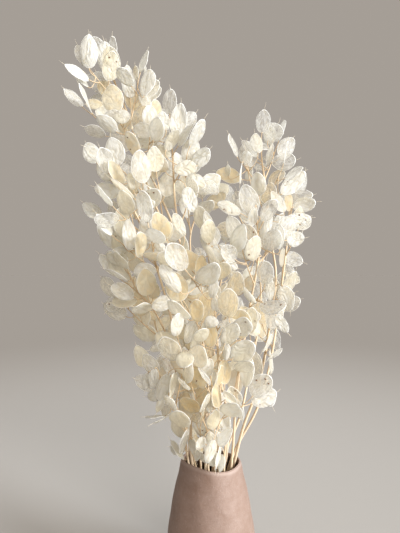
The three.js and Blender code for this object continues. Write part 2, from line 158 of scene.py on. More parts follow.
# Each stem: its place in the mouth, how far down its tip its own pods grow, its course, and its branches'
# tips.
STEMS = [
    # tall left
    dict(mouth=(22, 5), leader=84,
         path=[(20, 5, 276), (-5, 8, 374), (-35, 10, 478), (-73, 12, 567), (-102, 15, 632),
               (-128, 18, 708), (-149, 16, 750)],
         tips=[(-162, -8, 730), (-103, 5, 722), (-164, -10, 674), (-93, 40, 705), (-139, 45, 668)]),
    # left, bowed
    dict(mouth=(-8, 8), leader=56,
         path=[(-1, 15, 273), (-18, 10, 374), (-46, -5, 480), (-77, -15, 548), (-102, -25, 618),
               (-120, -28, 653)],
         tips=[(-81, -38, 630), (-113, -45, 586), (-69, -45, 571), (-65, 25, 462)]),
    # middle left
    dict(mouth=(10, -10), leader=70,
         path=[(9, -12, 282), (-9, -20, 379), (-31, -30, 470), (-47, -35, 533), (-50, -35, 586),
               (-54, -28, 651)],
         tips=[(-33, -45, 602), (-25, -15, 574), (1, -8, 429)]),
    # thin, behind
    dict(mouth=(7, 20), leader=28,
         path=[(-1, 20, 271), (-12, 40, 369), (-28, 50, 471), (-31, 52, 517), (-15, 55, 554),
               (-1, 58, 567)],
         tips=[(-33, 30, 552), (-50, 75, 586), (18, 50, 410)]),
    # lower left, long
    dict(mouth=(-27, -15), leader=56,
         path=[(-26, -20, 251), (-35, -30, 314), (-52, -40, 395), (-73, -48, 470), (-94, -52, 526),
               (-117, -52, 567), (-135, -52, 587)],
         tips=[(-115, -75, 531), (-114, -68, 495), (-86, -70, 556), (-75, -80, 506)]),
    # lower left, short
    dict(mouth=(-33, -2), leader=56,
         path=[(-35, -6, 242), (-46, -10, 308), (-63, -15, 378), (-86, -20, 417), (-112, -25, 441)],
         tips=[(-77, -48, 415), (-124, -5, 415), (-111, -45, 465), (-37, -14, 219)]),
    # low left, behind
    dict(mouth=(-27, 19), leader=42,
         path=[(-30, 20, 235), (-45, 35, 281), (-64, 45, 323), (-79, 50, 352)],
         tips=[(-92, 55, 401), (-86, 28, 306)]),
    # front middle
    dict(mouth=(3, -24), leader=70,
         path=[(12, -32, 262), (9, -42, 330), (5, -50, 396), (-2, -56, 454), (-7, -58, 500)],
         tips=[(-50, -72, 488), (-25, -78, 451), (16, -72, 468), (-30, -70, 409), (24, -62, 413)]),
    # front low
    dict(mouth=(-6, -31), leader=44,
         path=[(5, -42, 253), (1, -55, 302), (-6, -66, 349), (-15, -72, 381)],
         tips=[(-40, -72, 369), (11, -80, 362), (-6, -84, 320), (12, -70, 279), (2, -58, 252)]),
    # right, main
    dict(mouth=(33, -5), leader=56,
         path=[(44, -12, 247), (62, -8, 287), (76, 0, 341), (86, 5, 403), (94, 8, 452), (85, 8, 502),
               (79, 10, 576), (73, 12, 611), (72, 12, 640)],
         tips=[(45, 5, 609), (98, 0, 597), (98, 35, 641), (68, -20, 546), (64, -10, 302),
               (76, -22, 372)]),
    # right, outer
    dict(mouth=(31, 11), leader=56,
         path=[(55, 5, 241), (71, 8, 275), (89, 20, 336), (103, 32, 415), (114, 40, 489), (121, 45, 538),
               (126, 48, 560)],
         tips=[(122, 25, 503), (111, 55, 456), (105, 15, 419), (78, 40, 377)]),
    # right, front
    dict(mouth=(27, -19), leader=56,
         path=[(30, -30, 254), (34, -42, 318), (43, -52, 384), (52, -58, 441), (60, -60, 485),
               (55, -60, 520)],
         tips=[(37, -75, 480), (75, -55, 488), (60, -75, 434)]),
    # behind, middle
    dict(mouth=(0, 33), leader=60,
         path=[(-6, 45, 232), (-8, 65, 303), (4, 80, 379), (20, 90, 443), (27, 95, 492)],
         tips=[(54, 105, 425), (-12, 105, 434), (21, 108, 358), (-35, 85, 354)]),
    # behind, right
    dict(mouth=(22, 25), leader=56,
         path=[(44, 35, 236), (61, 55, 305), (79, 70, 380), (81, 80, 451), (62, 85, 515), (43, 88, 556)],
         tips=[(99, 95, 505), (107, 85, 402), (65, 85, 354)]),
    # behind, left
    dict(mouth=(-14, 21), leader=62,
         path=[(-15, 20, 271), (-36, 30, 371), (-68, 38, 459), (-97, 42, 522), (-124, 45, 571)],
         tips=[(-146, 35, 526), (-94, 65, 572), (-106, 65, 487)]),
    # front, right low
    dict(mouth=(16, -30), leader=44,
         path=[(21, -40, 252), (28, -50, 301), (35, -56, 340), (40, -58, 366)],
         tips=[(12, -66, 314), (40, -55, 290), (25, -75, 388)]),
    # low left, front
    dict(mouth=(-21, -24), leader=42,
         path=[(-29, -30, 235), (-41, -40, 271), (-54, -46, 301), (-67, -48, 319)],
         tips=[(-46, -50, 279), (-38, -62, 331), (-36, -55, 258)]),
    # low middle
    dict(mouth=(-16, -6), leader=42,
         path=[(-9, -16, 249), (-10, -26, 289), (-9, -34, 322)],
         tips=[(-15, -48, 260), (-31, -34, 286), (-37, -30, 391), (14, -30, 351)]),
]

# How a pod is known in a solid: its crowns touch RING_CORNERS others or more and lie a pod's thickness apart.
RING_CORNERS = 9
CROWN_GAP_ERROR = 0.05

# ---- What shows and isn't in the solids -------------------------------------------------------

# Stalks, which end STALK_ENTERS inside their pod, and the hair that is left of the style at each pod's tip.
STALK_RADIUS = 0.5
STALK_ROWS = 7
STALK_COLUMNS = 5
STALK_BEND = 0.45
STALK_ENTERS = 0.8
USUAL_LENGTH = 30.0
STYLE_LENGTH = (5.0, 10.0)
STYLE_BEND = (-0.3, 0.3)
STYLE_RADIUS = 0.25
STYLE_PALENESS = 0.85
# Seeds: rows and columns of the lens, and the oval that they lie on, in shares of the pod's half size.
SEED_GRID = (5, 8)
SEED_SIZE = (0.9, 1.5)
SEED_SLIMMER = 0.75
SEED_HALF_THICKNESS = 0.75
SEED_OVAL = (0.62, 0.66)
SEEDED_SHARE = 0.13
# Where a pod may grow: every PLACE_STEP along an axis, from TIP_BARE below its tip to ROOT_BARE above its
# root. The axis's direction there is taken over LOOK_BACK.
PLACE_STEP = 3.0
TIP_BARE = 4.0
ROOT_BARE = 6.0
LOOK_BACK = 4.0
# How far a new pod keeps clear. OUTLINE_ROOM is the square of the share of a pod's half size that counts as
# covered.
OUTLINE_POINTS = 13
OUTLINE_ROOM = 1.15
BLADE_GAP = 1.7
REACH_OF_PODS = 60.0
STAND_OFF = 3.0
VASE_FLARE = 0.35
# Small ones that never filled: how far below a tip they hang, their size, and their shorter stalk.
WITHERED_DOWN = (0, 22)
WITHERED_LENGTH = (7.0, 15.0)
WITHERED_WIDTH = (0.38, 0.6)
WITHERED_LEAN = (0.3, 1.0)
WITHERED_STALK = 0.5
WITHERED_FLATTER = 0.4
# Where the bunch is fuller: the middle of an oval seen from the front, its half sizes, how many pods more,
# how far below an axis's own pods they may grow, and their length.
MORE_PODS_TRIES = 60
FULLER = [
    ((-20, 320), (70, 105), 6, 40, (24, 34)),
    ((-40, 235), (45, 45), 12, 400, (20, 31)),
]
# Pods by how they look: tone from 0 white to 1 ochre, and how clear the sheet is.
WHITE = (-0.3, 0.14)
CREAM = (0.4, 0.16)
BEIGE = (0.25, 0.4)
CLEAR = (0.1, 0.88)
OCHRE = (0.95, 0.3)
CRUMPLED = (0.2, 0.15)
# The pods that give the bunch its outline and its bright front, as the camera sees them on a view that is
# VIEW_SIZE across and down: base across and down, tip across and down, and width. Every pod takes the place
# nearest the camera that has room by a stem, or the furthest one if it is clear or ochre.
VIEW_SIZE = (400, 533)
VIEW_FOCAL = 400.0
PLACED = [
    (WHITE, [
        (89, 68, 89, 35, 19), (106, 74, 104, 42, 17), (120, 97, 116, 62, 14), (130, 98, 127, 66, 15),
        (144, 96, 150, 70, 18), (122, 118, 104, 118, 18), (158, 141, 135, 142, 16),
        (176, 136, 181, 104, 18), (176, 168, 184, 143, 15), (192, 172, 203, 150, 14),
        (186, 187, 193, 211, 16), (172, 118, 160, 89, 12), (146, 197, 139, 167, 11),
        (128, 198, 112, 186, 12), (136, 218, 128, 190, 18), (140, 208, 154, 202, 14),
        (118, 248, 100, 222, 20), (130, 250, 128, 220, 15), (150, 244, 145, 215, 18),
        (158, 252, 133, 242, 17), (128, 248, 112, 252, 8), (157, 241, 165, 257, 11),
        (156, 270, 134, 273, 19), (180, 292, 161, 266, 16), (184, 232, 156, 233, 23),
        (188, 294, 207, 278, 16), (215, 255, 203, 233, 16), (213, 247, 221, 275, 17),
        (212, 298, 215, 277, 11), (215, 311, 214, 297, 8), (224, 262, 237, 268, 12),
        (227, 306, 234, 286, 4), (240, 134, 235, 159, 13), (262, 150, 276, 145, 13),
        (247, 165, 246, 151, 12), (250, 164, 248, 181, 6), (242, 163, 240, 183, 3),
        (282, 194, 304, 172, 18), (255, 207, 251, 226, 11), (268, 208, 262, 239, 15),
        (286, 222, 310, 218, 16), (287, 240, 304, 238, 17), (276, 315, 287, 332, 12),
        (272, 334, 262, 352, 8), (264, 385, 253, 395, 11), (240, 342, 231, 358, 14),
        (236, 401, 242, 420, 7), (185, 321, 179, 348, 18), (205, 319, 199, 350, 13),
        (204, 322, 218, 322, 13), (196, 350, 188, 358, 8), (211, 359, 204, 378, 13),
        (209, 370, 218, 386, 8), (225, 341, 226, 360, 10), (243, 341, 233, 360, 13),
        (155, 369, 152, 388, 11), (148, 373, 145, 389, 9), (168, 374, 159, 400, 15),
        (213, 388, 209, 412, 12), (219, 405, 228, 432, 14)]),
    (CREAM, [
        (143, 90, 145, 64, 10), (130, 117, 114, 116, 16), (196, 166, 175, 170, 17),
        (187, 176, 204, 187, 17), (166, 150, 178, 130, 12), (157, 146, 170, 156, 13),
        (228, 176, 228, 165, 4), (111, 181, 99, 161, 18), (131, 190, 115, 174, 15), (133, 190, 129, 173, 9),
        (131, 278, 109, 262, 17), (185, 279, 196, 256, 17), (184, 236, 174, 214, 12),
        (186, 256, 184, 236, 8), (206, 285, 203, 268, 5), (256, 304, 243, 287, 7), (238, 209, 231, 180, 13),
        (284, 306, 274, 318, 10), (270, 350, 271, 374, 5), (243, 350, 246, 386, 12),
        (199, 335, 192, 350, 10), (205, 349, 195, 375, 12), (163, 398, 157, 412, 8),
        (196, 415, 202, 436, 12), (204, 437, 197, 449, 9), (209, 432, 214, 449, 10),
        (184, 459, 171, 441, 5)]),
    (BEIGE, [
        (88, 87, 74, 73, 5), (140, 93, 150, 107, 12), (153, 132, 134, 129, 17), (184, 160, 196, 140, 18),
        (166, 130, 161, 112, 14), (104, 161, 85, 147, 13), (120, 245, 108, 206, 22),
        (134, 297, 112, 286, 18), (128, 281, 106, 270, 6), (174, 298, 153, 308, 16),
        (212, 234, 205, 212, 11), (233, 210, 242, 233, 13), (260, 255, 232, 251, 15),
        (250, 246, 233, 238, 13), (240, 213, 218, 203, 14), (258, 153, 255, 134, 14),
        (256, 205, 262, 186, 22), (284, 212, 272, 192, 14), (293, 207, 315, 202, 17),
        (280, 250, 279, 225, 9), (270, 300, 270, 278, 10), (283, 286, 290, 310, 17),
        (237, 322, 221, 326, 12), (178, 371, 175, 399, 12), (166, 345, 150, 350, 9),
        (190, 360, 187, 382, 8), (198, 315, 186, 343, 14), (165, 416, 146, 417, 8),
        (236, 404, 224, 391, 10), (187, 430, 182, 452, 8)]),
    (CLEAR, [
        (113, 62, 112, 37, 9), (104, 94, 96, 72, 21), (85, 101, 81, 131, 20), (203, 182, 218, 193, 14),
        (138, 168, 121, 155, 12), (123, 295, 108, 310, 18), (150, 283, 140, 298, 14),
        (168, 249, 177, 262, 12), (160, 292, 150, 302, 10), (230, 270, 238, 286, 12),
        (205, 258, 196, 249, 10), (218, 245, 226, 258, 8), (264, 130, 260, 111, 20),
        (268, 141, 278, 124, 22), (272, 163, 295, 160, 19), (254, 188, 258, 173, 12),
        (288, 198, 312, 195, 14), (282, 256, 302, 262, 17), (286, 264, 293, 275, 9),
        (262, 259, 258, 281, 16), (252, 284, 264, 303, 18), (276, 290, 286, 272, 13),
        (272, 327, 278, 350, 12), (262, 385, 272, 406, 19), (166, 350, 155, 370, 11),
        (164, 360, 172, 374, 7), (190, 408, 180, 427, 18), (207, 442, 214, 463, 12),
        (218, 450, 216, 471, 9)]),
    (OCHRE, [
        (137, 80, 135, 66, 6), (154, 125, 156, 100, 10), (135, 125, 132, 100, 9), (144, 123, 142, 104, 10),
        (103, 104, 86, 104, 11), (156, 152, 154, 180, 6), (158, 200, 148, 178, 10),
        (160, 238, 148, 226, 12), (165, 163, 155, 180, 8), (120, 256, 136, 270, 14),
        (176, 318, 158, 330, 18), (172, 333, 160, 345, 12), (190, 300, 176, 318, 14),
        (262, 320, 240, 314, 18), (262, 313, 262, 338, 12), (232, 362, 236, 395, 12),
        (186, 357, 172, 366, 10), (170, 393, 165, 417, 13), (182, 395, 190, 410, 8)]),
    (CRUMPLED, [
        (203, 436, 209, 452, 13), (199, 447, 196, 437, 9), (214, 440, 207, 462, 12),
        (220, 446, 216, 470, 10), (212, 452, 218, 463, 9), (206, 455, 214, 466, 8), (192, 440, 196, 460, 8),
        (211, 430, 221, 443, 11), (198, 452, 206, 463, 7), (222, 430, 214, 440, 9),
        (224, 456, 219, 471, 6)]),
]
# How a placed pod stands: how far in front of or behind its stem, how its face and length lean, its stalk.
PLACED_TRIES = 90
PLACED_DEPTHS = (-12, 4)
PLACED_LEAN = 0.28
STALK_REACH = (4.0, 30.0)
LONGEST = 46.0
TURNED_UNDER = 0.45
# Looks of all other pods: their tone, warmer where one has aged, and warmer low down and deep inside
# the bunch as painted golden shade.
TONE = (-0.45, 0.15)
LOW_PAINTED_SHADE = 0.5
LOW_SHADE_BELOW = 520.0
LOW_SHADE_FADE = 140.0
CROWD_REACH = 60.0
DEEP_PAINTED_SHADE = 1.6
DEEP_SHADE_POWER = 2.4
AGED = 0.5
AGED_DRAW = (-3, 1)
# The share of clear pods, on most stems and on the CLEARER_STEMS, and how clear a pod is if so and if not.
CLEAR_SHARES = (0.25, 0.85)
CLEARER_STEMS = (9, 10, 11, 13)
OUTERMOST = 0.12
OUTER_CLEARER = 0.35
CLEAR_SHEET = (0.6, 0.88)
DULL_SHEET = (0.08, 0.34)
LOOK_SPREAD = 0.1
CRUMPLING = 2.6

# ---- Colours, in linear light -----------------------------------------------------------------

CLAY_PALE = (0.345, 0.255, 0.217, 1)
CLAY_DEEP = (0.25, 0.166, 0.127, 1)
CLAY_FLECK = (0.20, 0.13, 0.105, 1)
CLAY_LIP = (0.46, 0.36, 0.32, 1)
# Painted shade inside the vase.
CLAY_PAINTED_SHADE = (0.10, 0.06, 0.04, 1)
STALK_THICK = (0.72, 0.58, 0.43, 1)
STALK_THIN = (0.66, 0.51, 0.34, 1)
STALK_PALE = (0.80, 0.68, 0.50, 1)
STALK_DARK = (0.46, 0.30, 0.16, 1)
POD_WHITE = (0.9, 0.9, 0.885, 1)
POD_CREAM = (0.94, 0.88, 0.72, 1)
POD_OCHRE = (0.90, 0.71, 0.41, 1)
# Painted shade for the pods' creases and soft patches.
POD_SHADE = (0.79, 0.74, 0.62, 1)
POD_CORD = (0.95, 0.945, 0.92, 1)
POD_SPECK = (0.55, 0.38, 0.20, 1)
POD_GLOW = (0.97, 0.96, 0.91, 1)
STYLE_PALE = (0.90, 0.82, 0.66, 1)
SEED_DARK = (0.13, 0.065, 0.035, 1)
SEED_LIGHT = (0.24, 0.13, 0.07, 1)
FLOOR_NEAR = (0.56, 0.548, 0.532, 1)
ROOM = (0.345, 0.316, 0.286, 1)

# ---- Floor, lights and camera, in metres ------------------------------------------------------

FLOOR_HALF_SIZE = 20.0
FLOOR_FADES = (0.2, 2.2)
# Lights: strength, colour, softness in degrees, and the direction they come from.
WINDOW_LIGHT = (4.0, (0.94, 0.975, 1.0), 24.0, (0.9, -0.4, 0.26))
FILL_LIGHT = (1.65, (1.0, 0.965, 0.92), 40.0, (0.4, -0.78, 0.42))
CAMERA_PLACE = (-0.0154, -0.56, 0.4645)
CAMERA_LENS = 27.0
CAMERA_SENSOR = 36.0

draw = np.random.default_rng(1737)


# ---- Points and lines -------------------------------------------------------------------------

def unit(vectors):
    """Each vector divided by its length."""
    return vectors / np.linalg.norm(vectors, axis=-1, keepdims=True)


def dot(a, b):
    """Dot products over the last axis, which is kept with length 1."""
    return np.sum(a * b, axis=-1, keepdims=True)


def square_to(directions, vectors):
    """The part of each vector that is square to its unit direction, at unit length."""
    return unit(vectors - dot(vectors, directions) * directions)


def turned(vector, axis, angle):
    """A vector that is square to a unit axis, turned round it: v cos a + (axis x v) sin a."""
    return vector * math.cos(angle) + np.cross(axis, vector) * math.sin(angle)


def rise(low, high, values):
    """0 before low, 1 past high, and t * t * (3 - 2 t) between, with t the share of the way."""
    share = np.clip((values - low) / (high - low), 0, 1)
    return share * share * (3 - 2 * share)


def round_turn(count):
    """This many angles, evenly round a full turn."""
    return np.linspace(0, 2 * math.pi, count, endpoint=False)


def run_along(points):
    """The length along a line of straight pieces, up to each of its points."""
    pieces = np.linalg.norm(np.diff(points, axis=0), axis=1)
    return np.concatenate([[0], np.cumsum(pieces)])


def at_run(points, lengths):
    """The places on a line of straight pieces that lie at these lengths along it."""
    run = run_along(points)
    return np.stack([np.interp(lengths, run, points[:, k]) for k in range(3)], axis=-1)


def softened(points, reach):
    """The line with its corners rounded: a place every PATH_STEP, each the Gaussian mean of the places within
    reach of it. Past its ends the line goes on as its own point reflection, so that they stay in place."""
    length = run_along(points)[-1]
    places = at_run(points, np.linspace(0, length, max(round(length / PATH_STEP), 6) + 1))
    wide = min(round(reach / PATH_STEP), len(places) - 1)
    weights = np.exp(-0.5 * (np.arange(-wide, wide + 1) / (wide / 2)) ** 2)
    before = 2 * places[0] - places[wide:0:-1]
    after = 2 * places[-1] - places[-2:-wide - 2:-1]
    line = np.vstack([before, places, after])
    return np.stack([np.convolve(line[:, k], weights / weights.sum(), "valid") for k in range(3)], axis=-1)


def spline(places, shares):
    """Points at shares 0 to 1 of a uniform Catmull-Rom spline. On the span from b to c, with a and d beyond:
    b + t (c - a) / 2 + t^2 (2a - 5b + 4c - d) / 2 + t^3 (3b - 3c + d - a) / 2. The ends go on straight."""
    places = np.vstack([2 * places[0] - places[1], places, 2 * places[-1] - places[-2]])
    spans = len(places) - 3
    span = np.minimum((shares * spans).astype(int), spans - 1)
    t = (shares * spans - span)[:, None]
    a, b, c, d = (places[span + k] for k in range(4))
    return b + t * (c - a) / 2 + t**2 * (2 * a - 5 * b + 4 * c - d) / 2 + t**3 * (3 * b - 3 * c + d - a) / 2


def nearest_on(path, point):
    """The place on a line of straight pieces that is nearest to a point, and its distance."""
    starts, steps = path[:-1], np.diff(path, axis=0)
    share = np.clip(dot(point - starts, steps) / dot(steps, steps), 0, 1)
    places = starts + share * steps
    distances = np.linalg.norm(places - point, axis=1)
    best = np.argmin(distances)
    return places[best], distances[best]


# ---- Surfaces ---------------------------------------------------------------------------------

def closed_grid(points, fields=None, uv=None):
    """Closed bodies from grids of points, (bodies, rows, columns, 3). Columns run round, and the first and
    the last row are poles, of which one point is kept. Seen from outside, a quad is [row, column],
    [row, column + 1], [row + 1, column + 1], [row + 1, column]. fields and uv are values at the same places,
    or ones that spread over them."""
    bodies, rows, columns = points.shape[:3]

    def kept(values):
        """The rows between the poles, then one point of each pole."""
        parts = values.shape[-1]
        values = np.broadcast_to(values, (bodies, rows, columns, parts))
        middle = values[:, 1:-1].reshape(bodies, -1, parts)
        return np.concatenate([middle, values[:, :1, 0], values[:, -1:, 0]], axis=1).reshape(-1, parts)

    size = (rows - 2) * columns + 2
    ring = np.arange((rows - 2) * columns).reshape(rows - 2, columns)
    on = np.roll(ring, -1, axis=1)
    quads = np.stack([ring[:-1], on[:-1], on[1:], ring[1:]], axis=-1).reshape(-1, 4)
    first = np.stack([np.full(columns, size - 2), on[0], ring[0]], axis=-1)
    last = np.stack([np.full(columns, size - 1), ring[-1], on[-1]], axis=-1)
    start = (np.arange(bodies) * size)[:, None, None]
    return {
        "points": kept(points),
        "quads": (quads + start).reshape(-1, 4),
        "triangles": (np.vstack([first, last]) + start).reshape(-1, 3),
        "fields": {name: kept(values[..., None])[:, 0] for name, values in (fields or {}).items()},
        "uv": None if uv is None else kept(uv),
    }


def joined(surfaces):
    """Several surfaces with the same fields, and without uv, as one."""
    starts = np.cumsum([0] + [len(surface["points"]) for surface in surfaces[:-1]])
    whole = {name: np.vstack([surface[name] + start for surface, start in zip(surfaces, starts)])
             for name in ("quads", "triangles")}
    whole["points"] = np.vstack([surface["points"] for surface in surfaces])
    whole["fields"] = {name: np.concatenate([surface["fields"][name] for surface in surfaces])
                       for name in surfaces[0]["fields"]}
    return {**whole, "uv": None}


def linked(name, data):
    """A new object that holds this data, in the scene."""
    new = bpy.data.objects.new(name, data)
    bpy.context.scene.collection.objects.link(new)
    return new


def make_piece(name, surface, material, nodes):
    """The surface as a mesh object in metres, which rides on the root and stands for the named solids."""
    mesh = bpy.data.meshes.new(name)
    faces = surface["quads"].tolist() + surface["triangles"].tolist()
    mesh.from_pydata((surface["points"] * MM).tolist(), [], faces)
    for field, values in surface["fields"].items():
        mesh.attributes.new(field, "FLOAT", "POINT").data.foreach_set("value", values.astype(np.float32))
    if surface["uv"] is not None:
        corners = np.empty(len(mesh.loops), int)
        mesh.loops.foreach_get("vertex_index", corners)
        mesh.uv_layers.new(name="Surface").data.foreach_set("uv", surface["uv"][corners].ravel())
    mesh.shade_smooth()
    mesh.materials.append(material)
    piece = linked(name, mesh)
    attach(piece, "root")
    if nodes:
        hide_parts(*nodes)


def tubes(paths, radii, columns, reference):
    """Round tubes with flat ends. paths is (tubes, rows, 3) and radii (tubes, rows). A ring is its centre
    plus radius times (cos a, sin a) on the part of the reference square to the path, and on the path's
    direction crossed with it."""
    ahead = unit(np.gradient(paths, axis=1))
    side = square_to(ahead, np.broadcast_to(reference, paths.shape))
    other = np.cross(ahead, side)
    angles = round_turn(columns)[:, None]
    around = side[:, :, None] * np.cos(angles) + other[:, :, None] * np.sin(angles)
    rings = paths[:, :, None] + radii[:, :, None, None] * around
    ends = [np.broadcast_to(paths[:, k, None, None], rings[:, :1].shape) for k in (0, -1)]
    return np.concatenate([ends[0], rings, ends[1]], axis=1)


# ---- Vase -------------------------------------------------------------------------------------

def shaped_clay(points):
    """The clay's wave and its pressed side, both rising from WAVE_STARTS_AT to the rim. Round the axis, a
    point at angle a rises by LIP_WAVE cos(a - high) + LIP_RIPPLE cos(3 a + phase), and moves inwards by
    PRESSED_FLAT cos(a - high)^4 where that cosine is positive."""
    angle = np.arctan2(points[..., 1], points[..., 0])
    share = rise(WAVE_STARTS_AT, RIM_HEIGHT, points[..., 2])
    towards = np.cos(angle - LIP_HIGH_AT)
    inwards = 1 - PRESSED_FLAT * np.maximum(0, towards) ** 4 * share
    wave = LIP_WAVE * towards + LIP_RIPPLE * np.cos(3 * angle + RIPPLE_PHASE)
    x, y, z = np.moveaxis(points, -1, 0)
    return np.stack([x * inwards, y * inwards, z + wave * share], axis=-1)


def hand_marks(points):
    """Small unevenness left by the hand: the radius changes by HAND_MARKS in soft waves round and up the
    wall, each sin(times a + height / length + phase)."""
    angle = np.arctan2(points[..., 1], points[..., 0])
    height = points[..., 2]
    marks = sum(share * np.sin(times * angle + height / length + phase)
                for share, times, length, phase in HAND_WAVES)
    marks = marks / sum(wave[0] for wave in HAND_WAVES) * rise(*MARKS_START, height)
    scale = 1 + HAND_MARKS / MOUTH_RADIUS * marks
    return np.stack([points[..., 0] * scale, points[..., 1] * scale, height], axis=-1)


def vase_surface():
    """The profile turned round the axis: up the outside, over the lip, down the inside to the floor. It
    carries how near the lip and how far inside each point is."""
    shoulder = [(radius - VASE_WALL, height) for radius, height in reversed(OUTER_PROFILE)
                if height > SHOULDER_FROM]
    wall = np.array(OUTER_PROFILE + LIP_PROFILE + shoulder + INNER_PROFILE, float)
    wall = spline(wall, np.linspace(0, 1, PROFILE_STEPS * (len(wall) - 1) + 1))
    underside = [(radius, 0) for radius in UNDERSIDE_RADII]
    floor = [(radius, VASE_FLOOR - FLOOR_DIP) for radius in FLOOR_RADII]
    profile = np.vstack([underside, wall, floor])
    radii, heights = profile[:, :1], profile[:, 1:]
    past_lip = np.arange(len(profile))[:, None] > np.argmax(heights)
    angles = round_turn(VASE_COLUMNS)
    points = np.stack(np.broadcast_arrays(radii * np.cos(angles), radii * np.sin(angles), heights), axis=-1)
    below = RIM_HEIGHT - heights[None]
    fields = {"lip": 1 - rise(*LIP_FADES, below), "inside": past_lip * rise(*INSIDE_PAINTED_SHADE, below)}
    return closed_grid(shaped_clay(hand_marks(points))[None], fields)


# ---- Stems and branches -----------------------------------------------------------------------

def foot_of(mouth):
    """Where the stem stands on the vase's floor: its place in the mouth, turned and spread round the axis."""
    cos, sin = math.cos(SPIRAL_TURN), math.sin(SPIRAL_TURN)
    x, y = mouth
    return (SPIRAL_SPREAD * (x * cos - y * sin), SPIRAL_SPREAD * (x * sin + y * cos), VASE_FLOOR + FOOT_GAP)


def stem_line(stem):
    """Straight from the foot to the mouth, then two straight pieces to each span of the spline."""
    places = np.array([foot_of(stem["mouth"]), (*stem["mouth"], MOUTH_LEVEL), *stem["path"]], float)
    spans = len(places) - 1
    shares = np.array([0, *range(2, 2 * spans + 1)]) / (2 * spans)
    return spline(places, shares)


def branch_line(stem_points, tip):
    """From its fork, where the stem sees the tip at FORK_ANGLE, through a lowered middle to the tip, as three
    straight pieces of the curve (1-t)^2 fork + 2 t (1-t) middle + t^2 tip."""
    length = run_along(stem_points)[-1]
    shares = np.arange(1, 100) / 100
    places = at_run(stem_points, shares * length)
    ahead = at_run(stem_points, (shares + 0.005) * length) - at_run(stem_points, (shares - 0.005) * length)
    angles = np.arccos(np.clip(dot(unit(ahead), unit(tip - places)), -1, 1))[:, 0]
    miss = np.where(places[:, 2] < LOWEST_FORK, np.inf, np.abs(angles - FORK_ANGLE))
    fork = places[np.argmin(miss)]
    middle = (fork + tip) / 2 - (0, 0, BRANCH_SAG * np.linalg.norm(tip - fork))
    t = np.linspace(0, 1, BRANCH_SECTIONS + 1)[:, None]
    return (1 - t) ** 2 * fork + 2 * t * (1 - t) * middle + t**2 * tip


def grow_axes(stem):
    """The stem's own axis and its branches', each with its path, radii and columns, and how far down its tip
    its own pods go."""
    line = stem_line(stem)
    path = softened(line, CORNER_REACH)
    run = run_along(path)
    left = run[-1] - run
    radii = np.minimum(STEM_TIP_RADIUS + STEM_THICKENING * left,
                       STEM_POINT_RADIUS + STEM_POINT_THICKENING * left)
    axes = [{"path": path, "radii": radii, "reach": stem["leader"], "columns": STEM_COLUMNS}]
    for tip in stem["tips"]:
        points = softened(branch_line(line, np.array(tip, float)), CORNER_REACH)
        root = nearest_on(path, points[0])[0]
        points += (root - points[0]) * np.linspace(1, 0, len(points))[:, None] ** 2
        run = run_along(points)
        radii = BRANCH_TIP_RADIUS + BRANCH_THICKENING * (1 - run / run[-1])
        reach = min(RACEME_LENGTH, run[-1] * RACEME_SHARE)
        axes.append({"path": points, "radii": radii, "reach": reach, "columns": BRANCH_COLUMNS})
    return axes


def axis_surface(axis):
    """A round tube along the axis, which carries how thin it is."""
    path, radii = axis["path"][None], axis["radii"][None]
    points = tubes(path, radii, axis["columns"], SEAM_TOWARDS)
    thin = rise(*THIN_BETWEEN, radii)[:, :, None]
    thin = np.concatenate([thin[:, :1], thin, thin[:, -1:]], axis=1)
    return closed_grid(points, {"thin": thin, "pale": 0 * thin})


# ---- Seed pods read from the solids -----------------------------------------------------------

def corners_of(node):
    """A solid's corners in millimetres, each once, and for each those it shares an edge with."""
    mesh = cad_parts[node].data
    mesh.calc_loop_triangles()
    places = np.empty(len(mesh.vertices) * 3)
    mesh.vertices.foreach_get("co", places)
    triangles = np.empty(len(mesh.loop_triangles) * 3, int)
    mesh.loop_triangles.foreach_get("vertices", triangles)
    corners, same = np.unique(np.round(places.reshape(-1, 3) / MM, 2), axis=0, return_inverse=True)
    triangles = same.reshape(-1)[triangles].reshape(-1, 3)
    edges = np.vstack([triangles[:, [a, b]] for a, b in ((0, 1), (1, 2), (2, 0), (1, 0), (2, 1), (0, 2))])
    edges = np.unique(edges, axis=0)
    counts = np.bincount(edges[:, 0], minlength=len(corners))
    return corners, np.split(edges[:, 1], np.cumsum(counts)[:-1])


